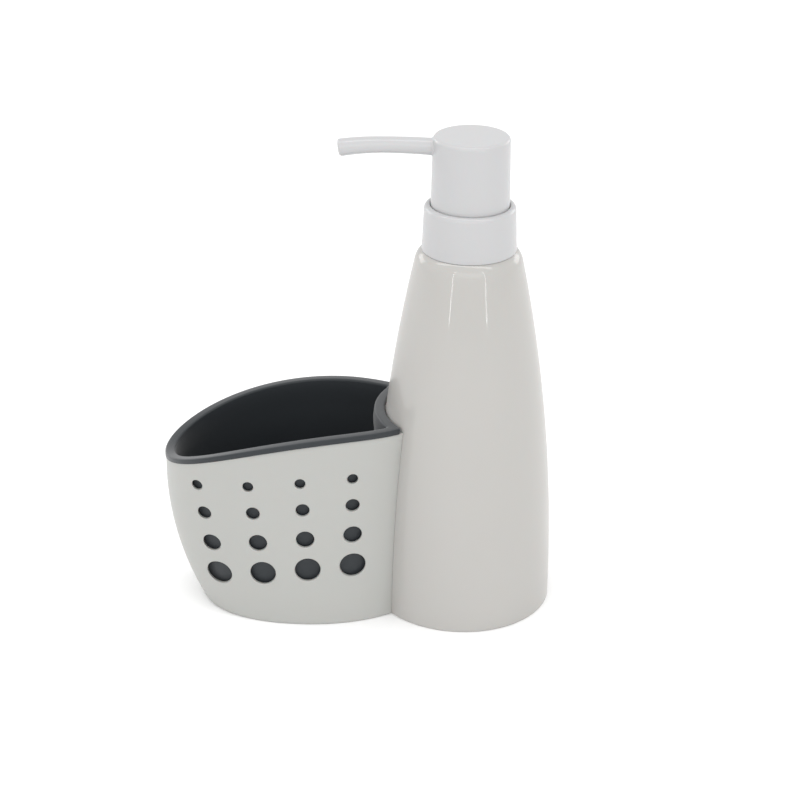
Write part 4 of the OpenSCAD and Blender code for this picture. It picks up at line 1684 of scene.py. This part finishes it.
@dataclass
class PumpEngine:
    """The pump's inner parts: carried-over CAD nodes with their finishes, and a fine return spring."""

    finishes: dict[str, Finish] = field(default_factory=lambda: {
        "bottle_base": BOTTLE_GLOSS,
        "screw_cap": PUMP_WHITE,
        "neck_gasket": SEAL_SOFT,
        "pump_housing": ENGINE_PLASTIC,
        "housing_cap": PUMP_WHITE,
        "pump_stem": ENGINE_PLASTIC,
        "stem_plug": ENGINE_PLASTIC,
        "piston": SEAL_SOFT,
        "ball_cage": ENGINE_PLASTIC,
        "inlet_ball": BALL_GLASS,
        "dip_tube": TUBE_CLEAR,
        "head_insert": PUMP_WHITE,
    })
    wire_r: float = 0.4 * MM
    turns: int = 7
    stroke: float = 12 * MM
    steps: int = 48
    wire_sides: int = 12
    crisp_angle: float = 35.0

    def build(self) -> None:
        """Dresses the carried-over nodes and builds the spring."""
        for name, finish in self.finishes.items():
            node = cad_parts[name]
            smooth(node.data, self.crisp_angle)
            dress(node, finish)
            LOG.info("%s: CAD node with finish %s", name, finish.slot.value)
        low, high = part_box("return_spring")
        coil = self.coil(low, high).piece("spring_coil", SPRING_STEEL, Body.PUMP, sharp=80)
        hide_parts("return_spring")
        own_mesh(coil)

    def coil(self, low: Vector, high: Vector) -> Draft:
        """The spring's wire, wound evenly between two heights.

        Args:
            low: Lowest corner of the spring's box.
            high: Highest corner of the spring's box.

        Returns:
            The draft of the wire.
        """
        draft = Draft()
        radius = high.x - self.wire_r
        count = self.turns * self.steps
        climb = high.z - low.z - 2 * self.wire_r
        tilt = math.atan2(climb / self.turns, 2 * math.pi * radius)
        rows = []
        for i in range(count + 1):
            a = 2 * math.pi * i / self.steps
            out = Vector((math.cos(a), math.sin(a), 0))
            middle = radius * out + Vector((0, 0, low.z + self.wire_r + climb * i / count))
            along = Vector((-math.sin(a) * math.cos(tilt), math.cos(a) * math.cos(tilt), math.sin(tilt)))
            up = along.cross(out) * -1
            ring = []
            for k in range(self.wire_sides):
                b = 2 * math.pi * k / self.wire_sides
                ring.append(middle + self.wire_r * (math.cos(b) * out + math.sin(b) * up))
            rows.append(draft.add(ring))
        draft.bands(rows)
        draft.cap(rows[0])
        draft.cap(rows[-1])
        return draft


@dataclass(frozen=True)
class Lamp:
    """A rectangular soft lamp: where it hangs, the point that it faces, its size and its watts."""

    name: str
    place: Triple
    aim: Triple
    size: Pair
    power: float

    def hang(self) -> None:
        """Makes the lamp."""
        data = bpy.data.lights.new(self.name, "AREA")
        data.shape = "RECTANGLE"
        data.size, data.size_y = self.size
        data.energy = self.power
        made = add_object(self.name, data)
        made.location = self.place
        way = Vector(self.aim) - Vector(self.place)
        made.rotation_euler = way.to_track_quat("-Z", "Y").to_euler()


@dataclass
class Studio:
    """Camera, lights, floor and pale surroundings."""

    lamps: tuple[Lamp, ...] = (
        Lamp("top_panel", (-0.1, -0.2, 1.6), OBJECT_MIDDLE, (2.8, 0.3), 9.5),
        Lamp("front_panel", (-0.04, -1.8, 0.9), OBJECT_MIDDLE, (2.0, 1.0), 5.2),
        Lamp("left_strip", (-0.52, -0.8, 0.59), (0, 0, 0.59), (0.025, 1.0), 0.65),
        Lamp("right_strip", (0.5, -0.8, 0.59), (0, 0, 0.59), (0.025, 1.0), 0.65),
        Lamp("left_rim", (-1.14, 0.96, 0.5), OBJECT_MIDDLE, (0.7, 0.45), 3.0),
        Lamp("right_rim", (1.06, 0.96, 0.5), OBJECT_MIDDLE, (0.7, 0.45), 3.0),
    )
    image_w: int = 800
    focal_px: float = 2096.0
    sensor: float = 36.0
    eye: Triple = (-27.547 * MM, -808.467 * MM, 475.568 * MM)
    pitch: float = 25.39
    roll: float = 0.61
    nudge_px: float = 0.8
    near_clip: float = 0.01
    far_clip: float = 50.0
    sky: float = 1.0
    floor_size: float = 24.0
    floor_shade: float = 0.95
    floor_rough: float = 0.9

    def camera(self) -> None:
        """Makes the camera at the photograph's viewing angle."""
        data = bpy.data.cameras.new("camera")
        data.sensor_width = self.sensor
        data.lens = self.focal_px / self.image_w * self.sensor
        data.shift_x = -self.nudge_px / self.image_w
        data.clip_start = self.near_clip
        data.clip_end = self.far_clip
        p, r = math.radians(self.pitch), math.radians(self.roll)
        flat = Vector((1, 0, 0))
        rise = Vector((0, math.sin(p), math.cos(p)))
        right = math.cos(r) * flat + math.sin(r) * rise
        up = -math.sin(r) * flat + math.cos(r) * rise
        back = Vector((0, -math.cos(p), math.sin(p)))
        made = add_object("camera", data)
        made.matrix_world = Matrix.Translation(self.eye) @ Matrix((right, up, back)).transposed().to_4x4()
        bpy.context.scene.camera = made

    def floor(self) -> None:
        """Makes the plain pale floor."""
        half = self.floor_size / 2
        draft = Draft()
        draft.cap(draft.add([(-half, -half, 0), (half, -half, 0), (half, half, 0), (-half, half, 0)]))
        paint = bpy.data.materials.new("floor_paint")
        paint.use_nodes = True
        shader = paint.node_tree.nodes["Principled BSDF"]
        shader.inputs["Base Color"].default_value = (self.floor_shade,) * 3 + (1,)
        shader.inputs["Roughness"].default_value = self.floor_rough
        made = add_object("floor", draft.mesh("floor"))
        made.data.materials.append(paint)

    def light(self) -> None:
        """Makes the pale surroundings and the lamps."""
        world = bpy.data.worlds.new("surroundings")
        world.use_nodes = True
        sky = world.node_tree.nodes["Background"]
        sky.inputs["Color"].default_value = (1, 1, 1, 1)
        sky.inputs["Strength"].default_value = self.sky
        scene = bpy.context.scene
        scene.world = world
        scene.view_settings.view_transform = "Standard"
        for lamp in self.lamps:
            lamp.hang()

    def build(self) -> None:
        """Sets the stage."""
        self.floor()
        self.light()


def main() -> None:
    """Builds every piece in order and reports it."""
    logging.basicConfig(level=logging.INFO, format="%(name)s: %(message)s")
    studio = Studio()
    studio.camera()
    bottle_form = BottleForm()
    caddy_form = CaddyForm(bottle_form)
    Bottle(bottle_form).build()
    CaddyShell(caddy_form, VentPattern()).build()
    CaddyLiner(caddy_form).build()
    Collar().build()
    HeadAndSpout().build()
    PumpEngine().build()
    studio.build()


if __name__ == "__main__":
    main()
